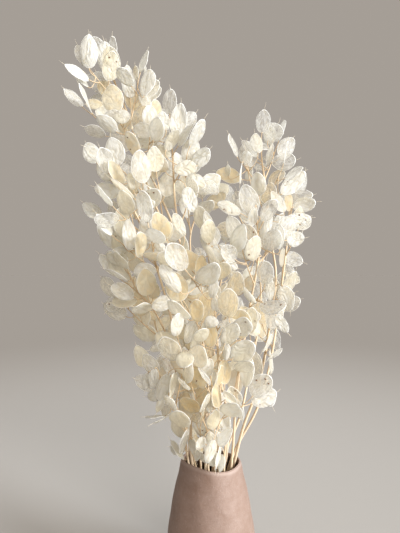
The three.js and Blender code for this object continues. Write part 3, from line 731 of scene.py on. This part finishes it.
def pods_on(node, axes):
    """The pods of a solid. Each has two crowns, a pod's thickness apart, that share its ring and two corners
    of its neck. The base is midway between those two, the tip is the farthest corner of the ring, and the
    face runs from crown to crown. The stalk's other end is the mean of what the neck goes on to."""
    corners, near = corners_of(node)
    crowns = np.flatnonzero([len(others) >= RING_CORNERS for others in near])
    gaps = np.linalg.norm(corners[crowns][:, None] - corners[crowns], axis=-1)
    pods = []
    for i, j in zip(*np.nonzero(np.triu(np.abs(gaps - 2 * POD_HALF_THICKNESS) < CROWN_GAP_ERROR))):
        top, bottom = sorted((crowns[i], crowns[j]), key=lambda crown: len(near[crown]))
        ring = np.intersect1d(near[top], near[bottom])
        if len(ring) < RING_CORNERS:
            continue
        apart = np.linalg.norm(corners[ring][:, None] - corners[ring], axis=-1)
        np.fill_diagonal(apart, np.inf)
        neck = ring[np.array(np.unravel_index(np.argmin(apart), apart.shape))]
        edge = corners[np.setdiff1d(ring, neck)]
        base = corners[neck].mean(axis=0)
        tip = edge[np.argmax(np.linalg.norm(edge - base, axis=1))]
        along = unit(tip - base)
        face = unit(corners[top] - corners[bottom])
        length = np.linalg.norm(tip - base) / (1 + POD_POINTED)
        middle = base + along * length / 2
        side = (edge - middle) @ np.cross(along, face)
        sides = edge[[np.argmin(side), np.argmax(side)]]
        below = np.setdiff1d(near[bottom], near[top])
        joined_to = np.concatenate([near[corner] for corner in (*neck, *below)])
        heel = corners[np.setdiff1d(joined_to, [*ring, top, bottom, *below])].mean(axis=0)
        root = min((nearest_on(axis["path"], heel) for axis in axes), key=lambda found: found[1])[0]
        pods.append({
            "root": root, "base": base, "along": along, "face": face, "length": length, "width": np.ptp(side),
            "cup": ((corners[top] + corners[bottom]) / 2 - middle) @ face,
            "wave": -((sides.mean(axis=0) - middle) @ face),
        })
    return pods


# ---- More pods between them -------------------------------------------------------------------

def stacked(pods, *names):
    """One array for each name, with the pods' values in order."""
    return [np.array([pod[name] for pod in pods]) for name in names]


def blades_of(pods):
    """Each pod's sheet as (middle, axes (across, along, face), half width, half length, cup, wave)."""
    base, along, face, length, width, cup, wave = stacked(
        pods, "base", "along", "face", "length", "width", "cup", "wave")
    middle = base + along * length[:, None] / 2
    return middle, np.stack([np.cross(along, face), along, face], axis=1), width / 2, length / 2, cup, wave


def outline_of(blades, shares):
    """Points of each blade's sheet at these shares of its radius, OUTLINE_POINTS round it with the last on
    the first: (blades, shares * OUTLINE_POINTS, 3)."""
    middle, axes, half_width, half_length, cup, wave = blades
    angles = np.linspace(0, 2 * math.pi, OUTLINE_POINTS)
    share = np.repeat(shares, OUTLINE_POINTS)[None]
    u = share * np.tile(np.sin(angles), len(shares))[None]
    v = share * np.tile(np.cos(angles), len(shares))[None]
    w = cup[:, None] * (1 - share**2) - wave[:, None] * u**2
    local = np.stack([u * half_width[:, None], v * half_length[:, None], w], axis=-1)
    return middle[:, None] + local @ axes


def seen_by(blades, points):
    """Points in each blade's frame, as three arrays (blades, points): the shares of its half width and half
    length, and the distance from its curved sheet."""
    middle, axes, half_width, half_length, cup, wave = blades
    local = np.einsum("npk,nak->npa", points[None] - middle[:, None], axes)
    u = local[..., 0] / half_width[:, None]
    v = local[..., 1] / half_length[:, None]
    w = local[..., 2] - cup[:, None] * (1 - np.minimum(u**2 + v**2, 1)) + wave[:, None] * u**2
    return u, v, w


def near_blade(blades, points):
    """True if any point lies over or under a blade by less than BLADE_GAP."""
    u, v, w = seen_by(blades, points)
    return bool(np.any((np.abs(w) < BLADE_GAP) & (u**2 + v**2 < OUTLINE_ROOM)))


def cuts_blade(blades, starts, ends):
    """True if a straight piece passes through a blade: its ends lie on different sides of the sheet, and the
    point where it passes lies inside the outline."""
    u0, v0, w0 = seen_by(blades, starts)
    u1, v1, w1 = seen_by(blades, ends)
    share = w0 / np.where(w0 == w1, 1, w0 - w1)
    u = u0 + (u1 - u0) * share
    v = v0 + (v1 - v0) * share
    return bool(np.any((w0 * w1 < 0) & (u**2 + v**2 < OUTLINE_ROOM)))


class Room:
    """What the new pods keep clear of: stems, stalks, blades, the vase, and the edge of the solids' box."""

    def __init__(self, all_axes, pods):
        self.starts = np.vstack([axis["path"][:-1] for axis in all_axes])
        self.ends = np.vstack([axis["path"][1:] for axis in all_axes])
        self.low, self.high = (np.array(corner) / MM for corner in cad_box)
        self.blades = blades_of(pods)
        self.roots, self.bases = stacked(pods, "root", "base")

    def takes(self, pod):
        """True if the pod and its stalk are clear of everything. Only blades within REACH_OF_PODS count."""
        blade = blades_of([pod])
        edge = outline_of(blade, [1.0])[0]
        inside = np.all(edge > self.low, axis=1) & np.all(edge < self.high, axis=1)
        lip = RIM_HEIGHT + LIP_WAVE + LIP_RIPPLE + STAND_OFF
        keep_out = MOUTH_RADIUS + STAND_OFF + (lip - edge[:, 2]) * VASE_FLARE
        off_axis = np.hypot(edge[:, 0], edge[:, 1])
        in_mouth = off_axis < MOUTH_RADIUS - LIP_WIDTH - 2 * STAND_OFF
        clear_of_vase = (edge[:, 2] > lip) | (off_axis > keep_out) | in_mouth
        if not np.all(inside & clear_of_vase):
            return False
        near = np.linalg.norm(self.blades[0] - blade[0], axis=1) < REACH_OF_PODS
        blades = tuple(values[near] for values in self.blades)
        edges = outline_of(blades, [1.0])
        return not (near_blade(blades, outline_of(blade, [0.0, 0.5, 1.0])[0])
                    or cuts_blade(blades, edge[:-1], edge[1:])
                    or cuts_blade(blade, edges[:, :-1].reshape(-1, 3), edges[:, 1:].reshape(-1, 3))
                    or cuts_blade(blade, self.starts, self.ends)
                    or cuts_blade(blade, self.roots, self.bases)
                    or cuts_blade(blades, pod["root"][None], pod["base"][None]))

    def add(self, pod):
        """Keeps the pod's room."""
        self.blades = tuple(np.concatenate(pair) for pair in zip(self.blades, blades_of([pod])))
        self.roots = np.vstack([self.roots, pod["root"]])
        self.bases = np.vstack([self.bases, pod["base"]])


def drawn_pod(root, ahead, lengths, leans=STALK_LEAN):
    """One draw of a pod whose stalk leaves its axis at root, on any side and leaning off it. Some hang, where
    the draw of its rise is below zero."""
    side = turned(square_to(ahead, np.array(STALKS_TURN_FROM)), ahead, draw.uniform(0, 2 * math.pi))
    lean = draw.uniform(*leans)
    stalk = ahead * math.cos(lean) + side * math.sin(lean)
    along = unit(stalk + POD_TILT * draw.uniform(-1, 1, 3) + (0, 0, draw.uniform(*POD_RISE)))
    face = square_to(along, (0, 1, 0) + FACE_SPREAD * draw.uniform(-1, 1, 3))
    length = draw.uniform(*lengths)
    return {
        "root": root, "base": root + stalk * draw.uniform(*STALK_LENGTH), "along": along, "face": face,
        "length": length, "width": length * draw.uniform(*POD_WIDTH),
        "cup": draw.uniform(-POD_CUP, POD_CUP), "wave": draw.uniform(-POD_WAVE, POD_WAVE),
    }


def growing_places(axes_of_stems):
    """Places every PLACE_STEP along each axis above the mouth: the stem's number, the place, the direction in
    which the axis grows there, and how far the place lies below the axis's own pods."""
    places = []
    for number, axes in enumerate(axes_of_stems):
        for axis in axes:
            run = run_along(axis["path"])
            down = np.arange(TIP_BARE, run[-1] - ROOT_BARE, PLACE_STEP)
            points, behind = (at_run(axis["path"], run[-1] - down - back) for back in (0, LOOK_BACK))
            places += [(number, point, unit(point - back), below) for point, back, below
                       in zip(points, behind, down - axis["reach"]) if point[2] > LOWEST_FORK]
    return places


def more_pods(axes_of_stems, pods_of_stems, room):
    """Fills the bunch out where it is thickest. In each of the FULLER ovals, seen from the front, draws a
    place to grow from and a pod on it until enough have found room."""
    places = growing_places(axes_of_stems)
    spots = np.array([point for _, point, _, _ in places])
    belows = np.array([below for _, _, _, below in places])
    for middle, half, wanted, most_below, length in FULLER:
        inside = np.sum(((spots[:, [0, 2]] - middle) / half) ** 2, axis=1) < 1
        near = np.flatnonzero(inside & (belows < most_below))
        for _ in range(wanted * MORE_PODS_TRIES):
            number, root, ahead, _ = places[draw.choice(near)]
            pod = drawn_pod(root, ahead, length)
            if room.takes(pod):
                room.add(pod)
                pods_of_stems[number].append(pod)
                wanted -= 1
            if not wanted:
                break


def seen_place(across, down, depth):
    """The place that the camera sees at a point of its view, on the upright plane y = depth."""
    eye = np.array(CAMERA_PLACE) / MM
    shares = (np.array([across, down]) - np.array(VIEW_SIZE) / 2) / VIEW_FOCAL
    right, fall = shares * (depth - eye[1])
    return np.array([eye[0] + right, depth, eye[2] - fall])


def pod_seen_at(root, seen, depth):
    """A pod at this depth that the camera sees where the row says. Its sheet faces the camera, and one that
    looks narrower than TURNED_UNDER of its length is a wider pod turned away."""
    base_across, base_down, tip_across, tip_down, seen_width = seen
    base = seen_place(base_across, base_down, depth)
    flat = seen_place(tip_across, tip_down, depth)
    reach = np.linalg.norm(flat - base)
    tip = seen_place(tip_across, tip_down, depth + reach * draw.uniform(-PLACED_LEAN, PLACED_LEAN))
    along, length = unit(tip - base), np.linalg.norm(tip - base)
    width = seen_width * (depth - CAMERA_PLACE[1] / MM) / VIEW_FOCAL
    face = square_to(along, (0, 1, 0) + PLACED_LEAN * draw.uniform(-1, 1, 3))
    if width < TURNED_UNDER * length:
        full = draw.uniform(*POD_WIDTH) * length
        face = turned(face, along, math.acos(width / full) * draw.choice([-1, 1]))
        width = full
    return {"root": root, "base": base, "along": along, "face": face, "length": length, "width": width,
            "cup": draw.uniform(-POD_CUP, POD_CUP), "wave": draw.uniform(-POD_WAVE, POD_WAVE)}


def placed_pods(axes_of_stems, pods_of_stems, room):
    """The PLACED pods, each on a stalk from the place on an axis where it is nearest the camera or
    furthest."""
    places = growing_places(axes_of_stems)
    spots = np.array([point for _, point, _, _ in places])
    for look, rows in PLACED:
        for seen in rows:
            depths = spots[:, 1] + draw.uniform(*PLACED_DEPTHS, len(spots))
            bases = np.array([seen_place(seen[0], seen[1], depth) for depth in depths])
            reach = np.linalg.norm(bases - spots, axis=1)
            near = np.flatnonzero((reach > STALK_REACH[0]) & (reach < STALK_REACH[1]))
            order = near[np.argsort(depths[near] * (-1 if look in (CLEAR, OCHRE) else 1))]
            for index in order[:PLACED_TRIES]:
                pod = pod_seen_at(spots[index], seen, depths[index])
                if pod["length"] < LONGEST and room.takes(pod):
                    room.add(pod)
                    pod["look"] = look
                    pods_of_stems[places[index][0]].append(pod)
                    break


def withered_pods(axis, room):
    """The few that never filled, small and narrow, round the tip of an axis."""
    run = run_along(axis["path"])
    found = []
    for down in draw.uniform(*WITHERED_DOWN, draw.integers(0, 2)):
        at = max(run[-1] - down, LOOK_BACK)
        root, behind = at_run(axis["path"], np.array([at, at - LOOK_BACK]))
        pod = drawn_pod(root, unit(root - behind), WITHERED_LENGTH, WITHERED_LEAN)
        pod["width"] = pod["length"] * draw.uniform(*WITHERED_WIDTH)
        pod["base"] = root + (pod["base"] - root) * WITHERED_STALK
        pod["cup"] *= WITHERED_FLATTER
        pod["wave"] *= WITHERED_FLATTER
        if room.takes(pod):
            room.add(pod)
            found.append(pod)
    return found


# ---- Pods, stalks, hairs and seeds as surfaces ------------------------------------------------

def spread(values):
    """Values of the pods, ready to be combined with a grid of rows and columns."""
    return values[:, None, None]


def pod_surface(pods):
    """Each pod as a thin closed sheet, from its front centre over the edge to its back centre. At share r of
    the way out and angle a from the base, u = -r sin a and v = -r cos a. The outline is W/2 u (1 + egg v)
    across and L/2 v along, a little slimmer and uneven, and drawn out at the tip and the base. The sheet lies
    off its plane by cup (1 - r^2) - wave u^2 + twist u v + curl u^2 (1 + v)/2 + ruffle r^4 (1 - cos a)/2
    sin(n a + phase) + two shallow folds that fade towards the base."""
    count = len(pods)
    length, width, cup, wave, tone, clear, crumple = map(
        spread, stacked(pods, "length", "width", "cup", "wave", "tone", "clear", "crumple"))
    share = POD_ROWS[:, :1]
    angle = round_turn(POD_COLUMNS)
    u, v = -share * np.sin(angle), -share * np.cos(angle)
    size = width / USUAL_WIDTH
    egg, twist, curl, phase, lobe = (spread(draw.uniform(-1, 1, count)) for _ in range(5))
    ruffle, folds, lean, chance = (spread(draw.uniform(0, 1, count)) for _ in range(4))
    waves = spread(draw.integers(2, 6, count))
    uneven = 1 + 0.022 * np.sin(3 * angle + 6 * phase) + 0.014 * np.sin(5 * angle + 9 * lobe)
    x = u * uneven * width / 2 * POD_SLIMMER * (1 + POD_EGG * egg * v)
    y = v * uneven * length / 2
    y = y + length * (POD_POINTED * np.maximum(0, v) ** 9 - POD_BASE_DRAWN * np.maximum(0, -v) ** 9)
    fold = np.sin(5 * (u * np.cos(3 * lean) + v * np.sin(3 * lean)) + 6 * phase)
    fold = fold + 0.6 * np.sin(9 * (u * np.cos(5 * lobe) + 0.4 * v) + 9 * lean)
    fold = POD_FOLDS * crumple * folds * fold * (1 - 0.4 * share**2)
    outer = (1 + v) / 2
    edge = share**4 * (1 - np.cos(angle)) / 2 * np.sin(waves * angle + 6 * phase)
    z = cup * (1 - share**2) - wave * u**2 + POD_ROWS[:, 1:]
    z = z + size * (POD_TWIST * twist * u * v + (POD_CURL * curl * u**2 + fold) * outer)
    z = z + size * (POD_RUFFLE[0] + POD_RUFFLE[1] * ruffle) * edge
    middle, axes = blades_of(pods)[:2]
    local = np.stack(np.broadcast_arrays(x, y, z), axis=-1)
    points = middle[:, None, None] + np.einsum("prck,pkm->prcm", local, axes)
    uv = np.stack(np.broadcast_arrays(u / 2 + 0.5, v / 2 + 0.5), axis=-1)
    return closed_grid(points, {"tone": tone, "clear": clear, "chance": chance}, uv)


def thin_tubes(paths, radii, columns, pale=0.0):
    """Closed tubes. Their rings are laid out from the coordinate axis that a tube runs least along."""
    run = np.abs(paths[:, -1] - paths[:, 0])
    reference = np.eye(3)[np.argmin(run, axis=1)][:, None]
    one = np.ones((1, 1, 1))
    return closed_grid(tubes(paths, radii, columns, reference), {"thin": one, "pale": one * pale})


def stalk_surface(pods):
    """Each stalk bends from its root on the stem into line with its pod, (1-t)^2 root + 2 t (1-t) turn +
    t^2 end, where turn lies straight behind the pod. It is thicker at the root and under the pod."""
    root, base, along, length = stacked(pods, "root", "base", "along", "length")
    reach = np.linalg.norm(base - root, axis=1, keepdims=True)
    size = np.minimum(length / USUAL_LENGTH, 1)[:, None]
    turn = base - STALK_BEND * reach * along
    end = base + along * STALK_ENTERS
    t = np.linspace(0, 1, STALK_ROWS)[:, None]
    paths = (1 - t) ** 2 * root[:, None] + 2 * t * (1 - t) * turn[:, None] + t * t * end[:, None]
    t = t[:, 0]
    radii = STALK_RADIUS * (0.55 + 0.45 * size) * (1 + 0.5 * (1 - t) ** 4 + 0.5 * t**8)
    return thin_tubes(paths, radii, STALK_COLUMNS)


def style_surface(pods):
    """The hair at each tip: the withered style, which tapers and bends a little to one side."""
    base, along, face, length = stacked(pods, "base", "along", "face", "length")
    hair = draw.uniform(*STYLE_LENGTH, (len(pods), 1, 1))
    bend = draw.uniform(*STYLE_BEND, (len(pods), 1, 1))
    t = np.linspace(0, 1, 4)[:, None]
    tip = base + along * (length * (1 + POD_POINTED) - 1)[:, None]
    across = np.cross(along, face)[:, None]
    paths = tip[:, None] + along[:, None] * hair * t + across * hair * bend * t**2
    radii = STYLE_RADIUS * np.broadcast_to((1 - 0.65 * t)[:, 0], (len(pods), 4))
    return thin_tubes(paths, radii, 4, STYLE_PALENESS)


def seed_surface(pods):
    """One to three flat seeds on some pods: a lens A sin p across, B sin p along and C cos p out of the
    sheet, which stands out on both sides."""
    points = []
    p = np.linspace(0, math.pi, SEED_GRID[0])[:, None]
    angle = round_turn(SEED_GRID[1])
    for pod in pods:
        if pod["length"] < POD_LENGTH[0] or draw.uniform() > SEEDED_SHARE:
            continue
        along, face = pod["along"], pod["face"]
        across = np.cross(along, face)
        for _ in range(draw.integers(1, 4)):
            turn = draw.uniform(0, 2 * math.pi)
            u, v = SEED_OVAL[0] * math.sin(turn), SEED_OVAL[1] * math.cos(turn)
            place = pod["base"] + along * pod["length"] * (v + 1) / 2 + across * pod["width"] * u / 2
            place = place + face * (pod["cup"] * (1 - u * u - v * v) - pod["wave"] * u * u)
            size = draw.uniform(*SEED_SIZE)
            lens = np.stack(np.broadcast_arrays(-size * np.sin(p) * np.sin(angle),
                                                -size * SEED_SLIMMER * np.sin(p) * np.cos(angle),
                                                SEED_HALF_THICKNESS * np.cos(p)), axis=-1)
            points.append(place + lens @ np.stack([across, along, face]))
    return closed_grid(np.array(points))


# ---- Finishes ---------------------------------------------------------------------------------

class Value:
    """A node's output. An expression on values adds its Math nodes, so 1 - mask is a value too."""

    def __init__(self, finish, socket):
        self.finish = finish
        self.socket = socket

    def math(self, operation, *terms):
        """The value of a Math node on these terms."""
        return self.finish.add("ShaderNodeMath", {"operation": operation}, dict(enumerate(terms)))

    def __add__(self, other):
        return self.math("ADD", self, other)

    def __sub__(self, other):
        return self.math("SUBTRACT", self, other)

    def __rsub__(self, other):
        return self.math("SUBTRACT", other, self)

    def __mul__(self, other):
        return self.math("MULTIPLY", self, other)

    def __pow__(self, other):
        return self.math("POWER", self, other)

    __radd__ = __add__
    __rmul__ = __mul__

    def between(self, low, high):
        """0 below low and 1 above high, smoothly between. With low above high, it falls."""
        return self.finish.add("ShaderNodeMapRange", {"interpolation_type": "SMOOTHSTEP"},
                               {"Value": self, "From Min": low, "From Max": high})


class Finish:
    """A material's node tree, with one method that adds any node, and short names for the usual ones."""

    def __init__(self, name):
        self.material = bpy.data.materials.new(name)
        self.material.use_nodes = True
        self.tree = self.material.node_tree
        self.tree.nodes.clear()

    def add(self, kind, settings=None, sockets=None, output=0):
        """Adds a node: its settings first, then its sockets' values or links. Gives back one output."""
        node = self.tree.nodes.new(kind)
        for name, value in (settings or {}).items():
            setattr(node, name, value)
        for name, value in (sockets or {}).items():
            if isinstance(value, Value):
                self.tree.links.new(value.socket, node.inputs[name])
            else:
                node.inputs[name].default_value = value
        return Value(self, node.outputs[output]) if node.outputs else node

    def field(self, name):
        """A number that the surface carries at each of its points."""
        return self.add("ShaderNodeAttribute", {"attribute_name": name}, output="Fac")

    def place(self):
        """Where each point lies on the object."""
        return self.add("ShaderNodeTexCoord", output="Object")

    def parts(self, vector):
        """The three parts of a vector."""
        first = self.add("ShaderNodeSeparateXYZ", sockets={"Vector": vector})
        return (Value(self, output) for output in first.socket.node.outputs)

    def point(self, x, y, z):
        """A vector with these parts."""
        return self.add("ShaderNodeCombineXYZ", sockets={"X": x, "Y": y, "Z": z})

    def noise(self, vector, scale, detail=3.0, roughness=0.55, distortion=0.0):
        """Noise with this many features a unit of the vector, which is a metre for a place."""
        return self.add("ShaderNodeTexNoise", sockets={
            "Vector": vector, "Scale": scale, "Detail": detail, "Roughness": roughness,
            "Distortion": distortion})

    def mixed(self, factor, first, second):
        """From the first colour to the second as factor goes from 0 to 1."""
        return self.add("ShaderNodeMix", {"data_type": "RGBA"}, {0: factor, 6: first, 7: second}, output=2)

    def shader_mix(self, factor, first, second):
        """From the first shader to the second as factor goes from 0 to 1."""
        return self.add("ShaderNodeMixShader", sockets={0: factor, 1: first, 2: second})

    def surface(self, colour, roughness, relief=None, specular=0.5):
        """The usual shader. relief is the height, distance and strength of its bumps."""
        sockets = {"Base Color": colour, "Roughness": roughness, "Specular IOR Level": specular}
        if relief:
            bumps = dict(zip(("Height", "Distance", "Strength"), relief))
            sockets["Normal"] = self.add("ShaderNodeBump", sockets=bumps)
        return self.add("ShaderNodeBsdfPrincipled", sockets=sockets)

    def done(self, shader):
        """The material, with this shader on its surface."""
        self.add("ShaderNodeOutputMaterial", sockets={"Surface": shader})
        return self.material


def clay():
    """Matt fired clay: a coarse grain, soft patches and faint bands from the hand, darker flecks, a paler
    lip, and a dark inside that is painted shade."""
    finish = Finish("matt_clay")
    place = finish.place()
    x, y, z = finish.parts(place)
    patches = finish.noise(place, 26.0, 4.0, 0.6, 0.6)
    dents = finish.noise(place, 105.0, 3.0, 0.6, 0.4)
    grain = finish.noise(place, 900.0, 3.0, 0.7)
    pits = finish.noise(place, 420.0, 2.0, 0.5)
    band = finish.noise(finish.point(x * 3.0, y * 3.0, z * 160.0), 1.0, 2.0)
    colour = finish.mixed((patches * 0.6 + dents * 0.4).between(0.2, 0.8), CLAY_DEEP, CLAY_PALE)
    colour = finish.mixed(grain.between(0.55, 0.75) * 0.4, colour, CLAY_FLECK)
    colour = finish.mixed(pits.between(0.6, 0.75) * 0.35, colour, CLAY_LIP)
    colour = finish.mixed(finish.field("lip") * 0.5, colour, CLAY_LIP)
    # Painted shade: the vase's inside grows dark below the rim, where shade falls.
    colour = finish.mixed(finish.field("inside") * 0.75, colour, CLAY_PAINTED_SHADE)
    height = patches * 0.7 + dents * 0.4 + band * 0.25 + grain * 0.3 - pits.between(0.62, 0.8) * 0.3
    return finish.done(finish.surface(colour, grain * 0.2 + 0.5, (height, 0.0017, 0.8)))


def straw():
    """Dry stalk: lengthwise fibres and joints, and warmer in colour where it is thin."""
    finish = Finish("dry_stalk")
    place = finish.place()
    x, y, z = finish.parts(place)
    fibres = finish.noise(finish.point(x, y, z * 0.06), 1400.0, 3.0, 0.6)
    patches = finish.noise(place, 38.0, 3.0)
    colour = finish.mixed(finish.field("thin"), STALK_THICK, STALK_THIN)
    colour = finish.mixed(patches.between(0.45, 0.75) * 0.55, colour, STALK_PALE)
    colour = finish.mixed(fibres.between(0.55, 0.8) * 0.35, colour, STALK_DARK)
    colour = finish.mixed(finish.field("pale"), colour, STYLE_PALE)
    return finish.done(finish.surface(colour, fibres * 0.25 + 0.5, (fibres, 0.0003, 0.6)))


def membrane():
    """The pod's silky sheet: white to ochre by its tone, with lengthwise fibres, a pale net and sharp
    creases, inside a firmer cord that runs round the edge. Painted shade darkens the creases and soft patches
    of the sheet. Light comes through it, and between the net's veins it is partly clear."""
    finish = Finish("bleached_membrane")
    place = finish.place()
    across, along, _ = finish.parts(finish.add("ShaderNodeUVMap", {"uv_map": "Surface"}))
    u, v = across * 2.0 - 1.0, along * 2.0 - 1.0
    out = (u * u + v * v) ** 0.5
    chance = finish.field("chance")
    fibres = finish.noise(finish.point(u * 6.5, v * 1.3, chance * 40.0), 1.0, 4.0, 0.62, 0.4)
    silk = finish.noise(finish.point(u * 2.6, v * 1.7, chance * 23.0), 1.0, 2.0, 0.5, 0.6)
    crumple = finish.noise(finish.point(u * 1.3, v * 1.2, chance * 17.0), 1.0, 1.0, 0.4, 0.5)
    creases = ((crumple - 0.5) * (crumple - 0.5)) ** 0.5
    net = finish.add("ShaderNodeTexVoronoi", {"feature": "DISTANCE_TO_EDGE"}, {
        "Vector": finish.point(u * 2.2 + silk, v * 1.7 + fibres, chance * 31.0), "Scale": 1.0})
    stains = finish.noise(place, 64.0, 4.0, 0.62)
    specks = finish.noise(place, 620.0, 1.0)
    cord = out.between(0.92, 0.96)
    veins = net.between(0.09, 0.0)

    tone = finish.field("tone") + (stains - 0.5) * 1.2 + (fibres - 0.5) * 0.7
    colour = finish.mixed(tone.between(0.1, 0.7), POD_WHITE, POD_CREAM)
    colour = finish.mixed(tone.between(0.6, 1.2), colour, POD_OCHRE)
    # Painted shade: darker soft patches between the veins and dark lines along the creases.
    painted_shade = silk.between(0.45, 0.65) * (1 - veins) * 0.45 + creases.between(0.05, 0.0) * 0.8
    colour = finish.mixed(painted_shade * (1 - cord), colour, POD_SHADE)
    colour = finish.mixed(cord * 0.8, colour, POD_CORD)
    colour = finish.mixed(specks.between(0.71, 0.76) * (1 - cord) * 0.5, colour, POD_SPECK)

    height = creases * 2.2 + net * 0.35 + fibres * 0.22 + silk * 0.6 + cord * 0.3
    sheet = finish.surface(colour, 0.55 - fibres * 0.3, (height, 0.003, 0.78))
    through = finish.add("ShaderNodeBsdfTranslucent", sockets={"Color": POD_GLOW})
    body = finish.shader_mix(0.56 + tone.between(0.2, 1.1) * 0.1 - cord * 0.25, sheet, through)
    see_through = finish.field("clear") * (1 - cord * 0.9) * (1 - veins * 0.3) * (silk * 1.2 + 0.1)
    return finish.done(finish.shader_mix(see_through, body, finish.add("ShaderNodeBsdfTransparent")))


def seed_coat():
    """A dry seed: dark brown, faintly wrinkled."""
    finish = Finish("seed_coat")
    wrinkles = finish.noise(finish.place(), 1500.0, 2.0)
    colour = finish.mixed(wrinkles.between(0.35, 0.65), SEED_DARK, SEED_LIGHT)
    return finish.done(finish.surface(colour, wrinkles * 0.2 + 0.5, (wrinkles, 0.0003, 0.5)))


def ground():
    """The floor: plain, pale and without a sheen. A few metres away it is as grey as the room behind it,
    whose colour it gives back from what the two lights and the room throw on it."""
    finish = Finish("pale_floor")
    x, y, _ = finish.parts(finish.place())
    room = np.array(ROOM[:3])
    received = room + sum(energy * np.array(colour) * unit(np.array(towards))[2] / math.pi
                          for energy, colour, _, towards in (WINDOW_LIGHT, FILL_LIGHT))
    far = ((x * x + y * y) ** 0.5).between(*FLOOR_FADES)
    colour = finish.mixed(far, FLOOR_NEAR, (*room / received, 1))
    return finish.done(finish.surface(colour, 0.9, specular=0.0))


# ---- The object -------------------------------------------------------------------------------

def buried(pods):
    """How deep inside the bunch each pod stands, from 0 to 1: its rank by how evenly the others within
    CROWD_REACH lie round it."""
    middles = blades_of(pods)[0]
    near = np.linalg.norm(middles[:, None] - middles, axis=-1) < CROWD_REACH
    off = np.linalg.norm(middles - near @ middles / near.sum(axis=1)[:, None], axis=1)
    return 1 - np.argsort(np.argsort(off)) / len(off)


def give_looks(pods_of_stems):
    """Each pod's tone, how clear it is and how crumpled. Low down and deep inside the bunch its tone is
    warmer, as painted golden shade, and more of the outermost are clear. A placed pod keeps its own look."""
    pods = sum(pods_of_stems, [])
    shares = [CLEAR_SHARES[stem in CLEARER_STEMS] for stem, some in enumerate(pods_of_stems) for _ in some]
    for pod, depth, share in zip(pods, buried(pods), shares):
        # Painted shade: the tone grows warmer low down and deep inside the bunch.
        low_painted_shade = LOW_PAINTED_SHADE * np.clip((LOW_SHADE_BELOW - pod["base"][2]) / LOW_SHADE_FADE, 0, 1)
        tone = draw.uniform(*TONE) + low_painted_shade + DEEP_PAINTED_SHADE * depth**DEEP_SHADE_POWER
        tone += AGED * max(0, draw.uniform(*AGED_DRAW))
        is_clear = draw.uniform() < share + OUTER_CLEARER * (depth < OUTERMOST)
        clear = draw.uniform(*(CLEAR_SHEET if is_clear else DULL_SHEET))
        if "look" in pod:
            tone, clear = np.array(pod["look"]) + draw.uniform(-LOOK_SPREAD, LOOK_SPREAD, 2)
        pod.update(tone=tone, clear=clear, crumple=CRUMPLING if pod.get("look") == CRUMPLED else 1.0)


def build():
    """Every piece of the object, in its solid's place."""
    vase, stalk, sheet, seed = clay(), straw(), membrane(), seed_coat()
    make_piece("clay_vase", vase_surface(), vase, ["vase"])

    nodes = sorted(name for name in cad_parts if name.startswith("honesty_stem"))
    axes = [grow_axes(stem) for stem in STEMS]
    pods = [pods_on(node, stem_axes) for node, stem_axes in zip(nodes, axes)]
    room = Room(sum(axes, []), sum(pods, []))
    placed_pods(axes, pods, room)
    more_pods(axes, pods, room)
    for stem_axes, stem_pods in zip(axes, pods):
        for axis in stem_axes:
            stem_pods += withered_pods(axis, room)
    give_looks(pods)
    for node, stem_axes, stem_pods in zip(nodes, axes, pods):
        stalks = [*map(axis_surface, stem_axes), stalk_surface(stem_pods), style_surface(stem_pods)]
        make_piece(node + "_stalks", joined(stalks), stalk, [node])
        make_piece(node + "_pods", pod_surface(stem_pods), sheet, [node])
    make_piece("honesty_seeds", seed_surface(sum(pods, [])), seed, [])


def sun(name, energy, colour, softness, towards):
    """A distant light that shines from this direction."""
    light = bpy.data.lights.new(name, "SUN")
    light.energy = energy
    light.color = colour
    light.angle = math.radians(softness)
    linked(name, light).rotation_euler = Vector(towards).to_track_quat("Z", "Y").to_euler()


def light_and_camera():
    """A wide pale floor, a large window's soft light from the right, a weak one from the front, and an even
    grey room."""
    mesh = bpy.data.meshes.new("floor")
    corners = [(x * FLOOR_HALF_SIZE, y * FLOOR_HALF_SIZE, 0) for x, y in ((-1, -1), (1, -1), (1, 1), (-1, 1))]
    mesh.from_pydata(corners, [], [(0, 1, 2, 3)])
    mesh.materials.append(ground())
    floor = linked("floor", mesh)
    sun("window", *WINDOW_LIGHT)
    sun("fill", *FILL_LIGHT)

    scene = bpy.context.scene
    scene.world = bpy.data.worlds.new("room")
    scene.world.use_nodes = True
    scene.world.node_tree.nodes["Background"].inputs["Color"].default_value = ROOM

    camera_data = bpy.data.cameras.new("camera")
    camera_data.lens = CAMERA_LENS
    camera_data.sensor_width = CAMERA_SENSOR
    scene.camera = linked("camera", camera_data)
    scene.camera.location = CAMERA_PLACE
    scene.camera.rotation_euler = (math.pi / 2, 0, 0)
    scene.view_settings.view_transform = "Standard"
    scene.view_settings.look = "Medium High Contrast"


build()
light_and_camera()
bpy.context.view_layer.update()
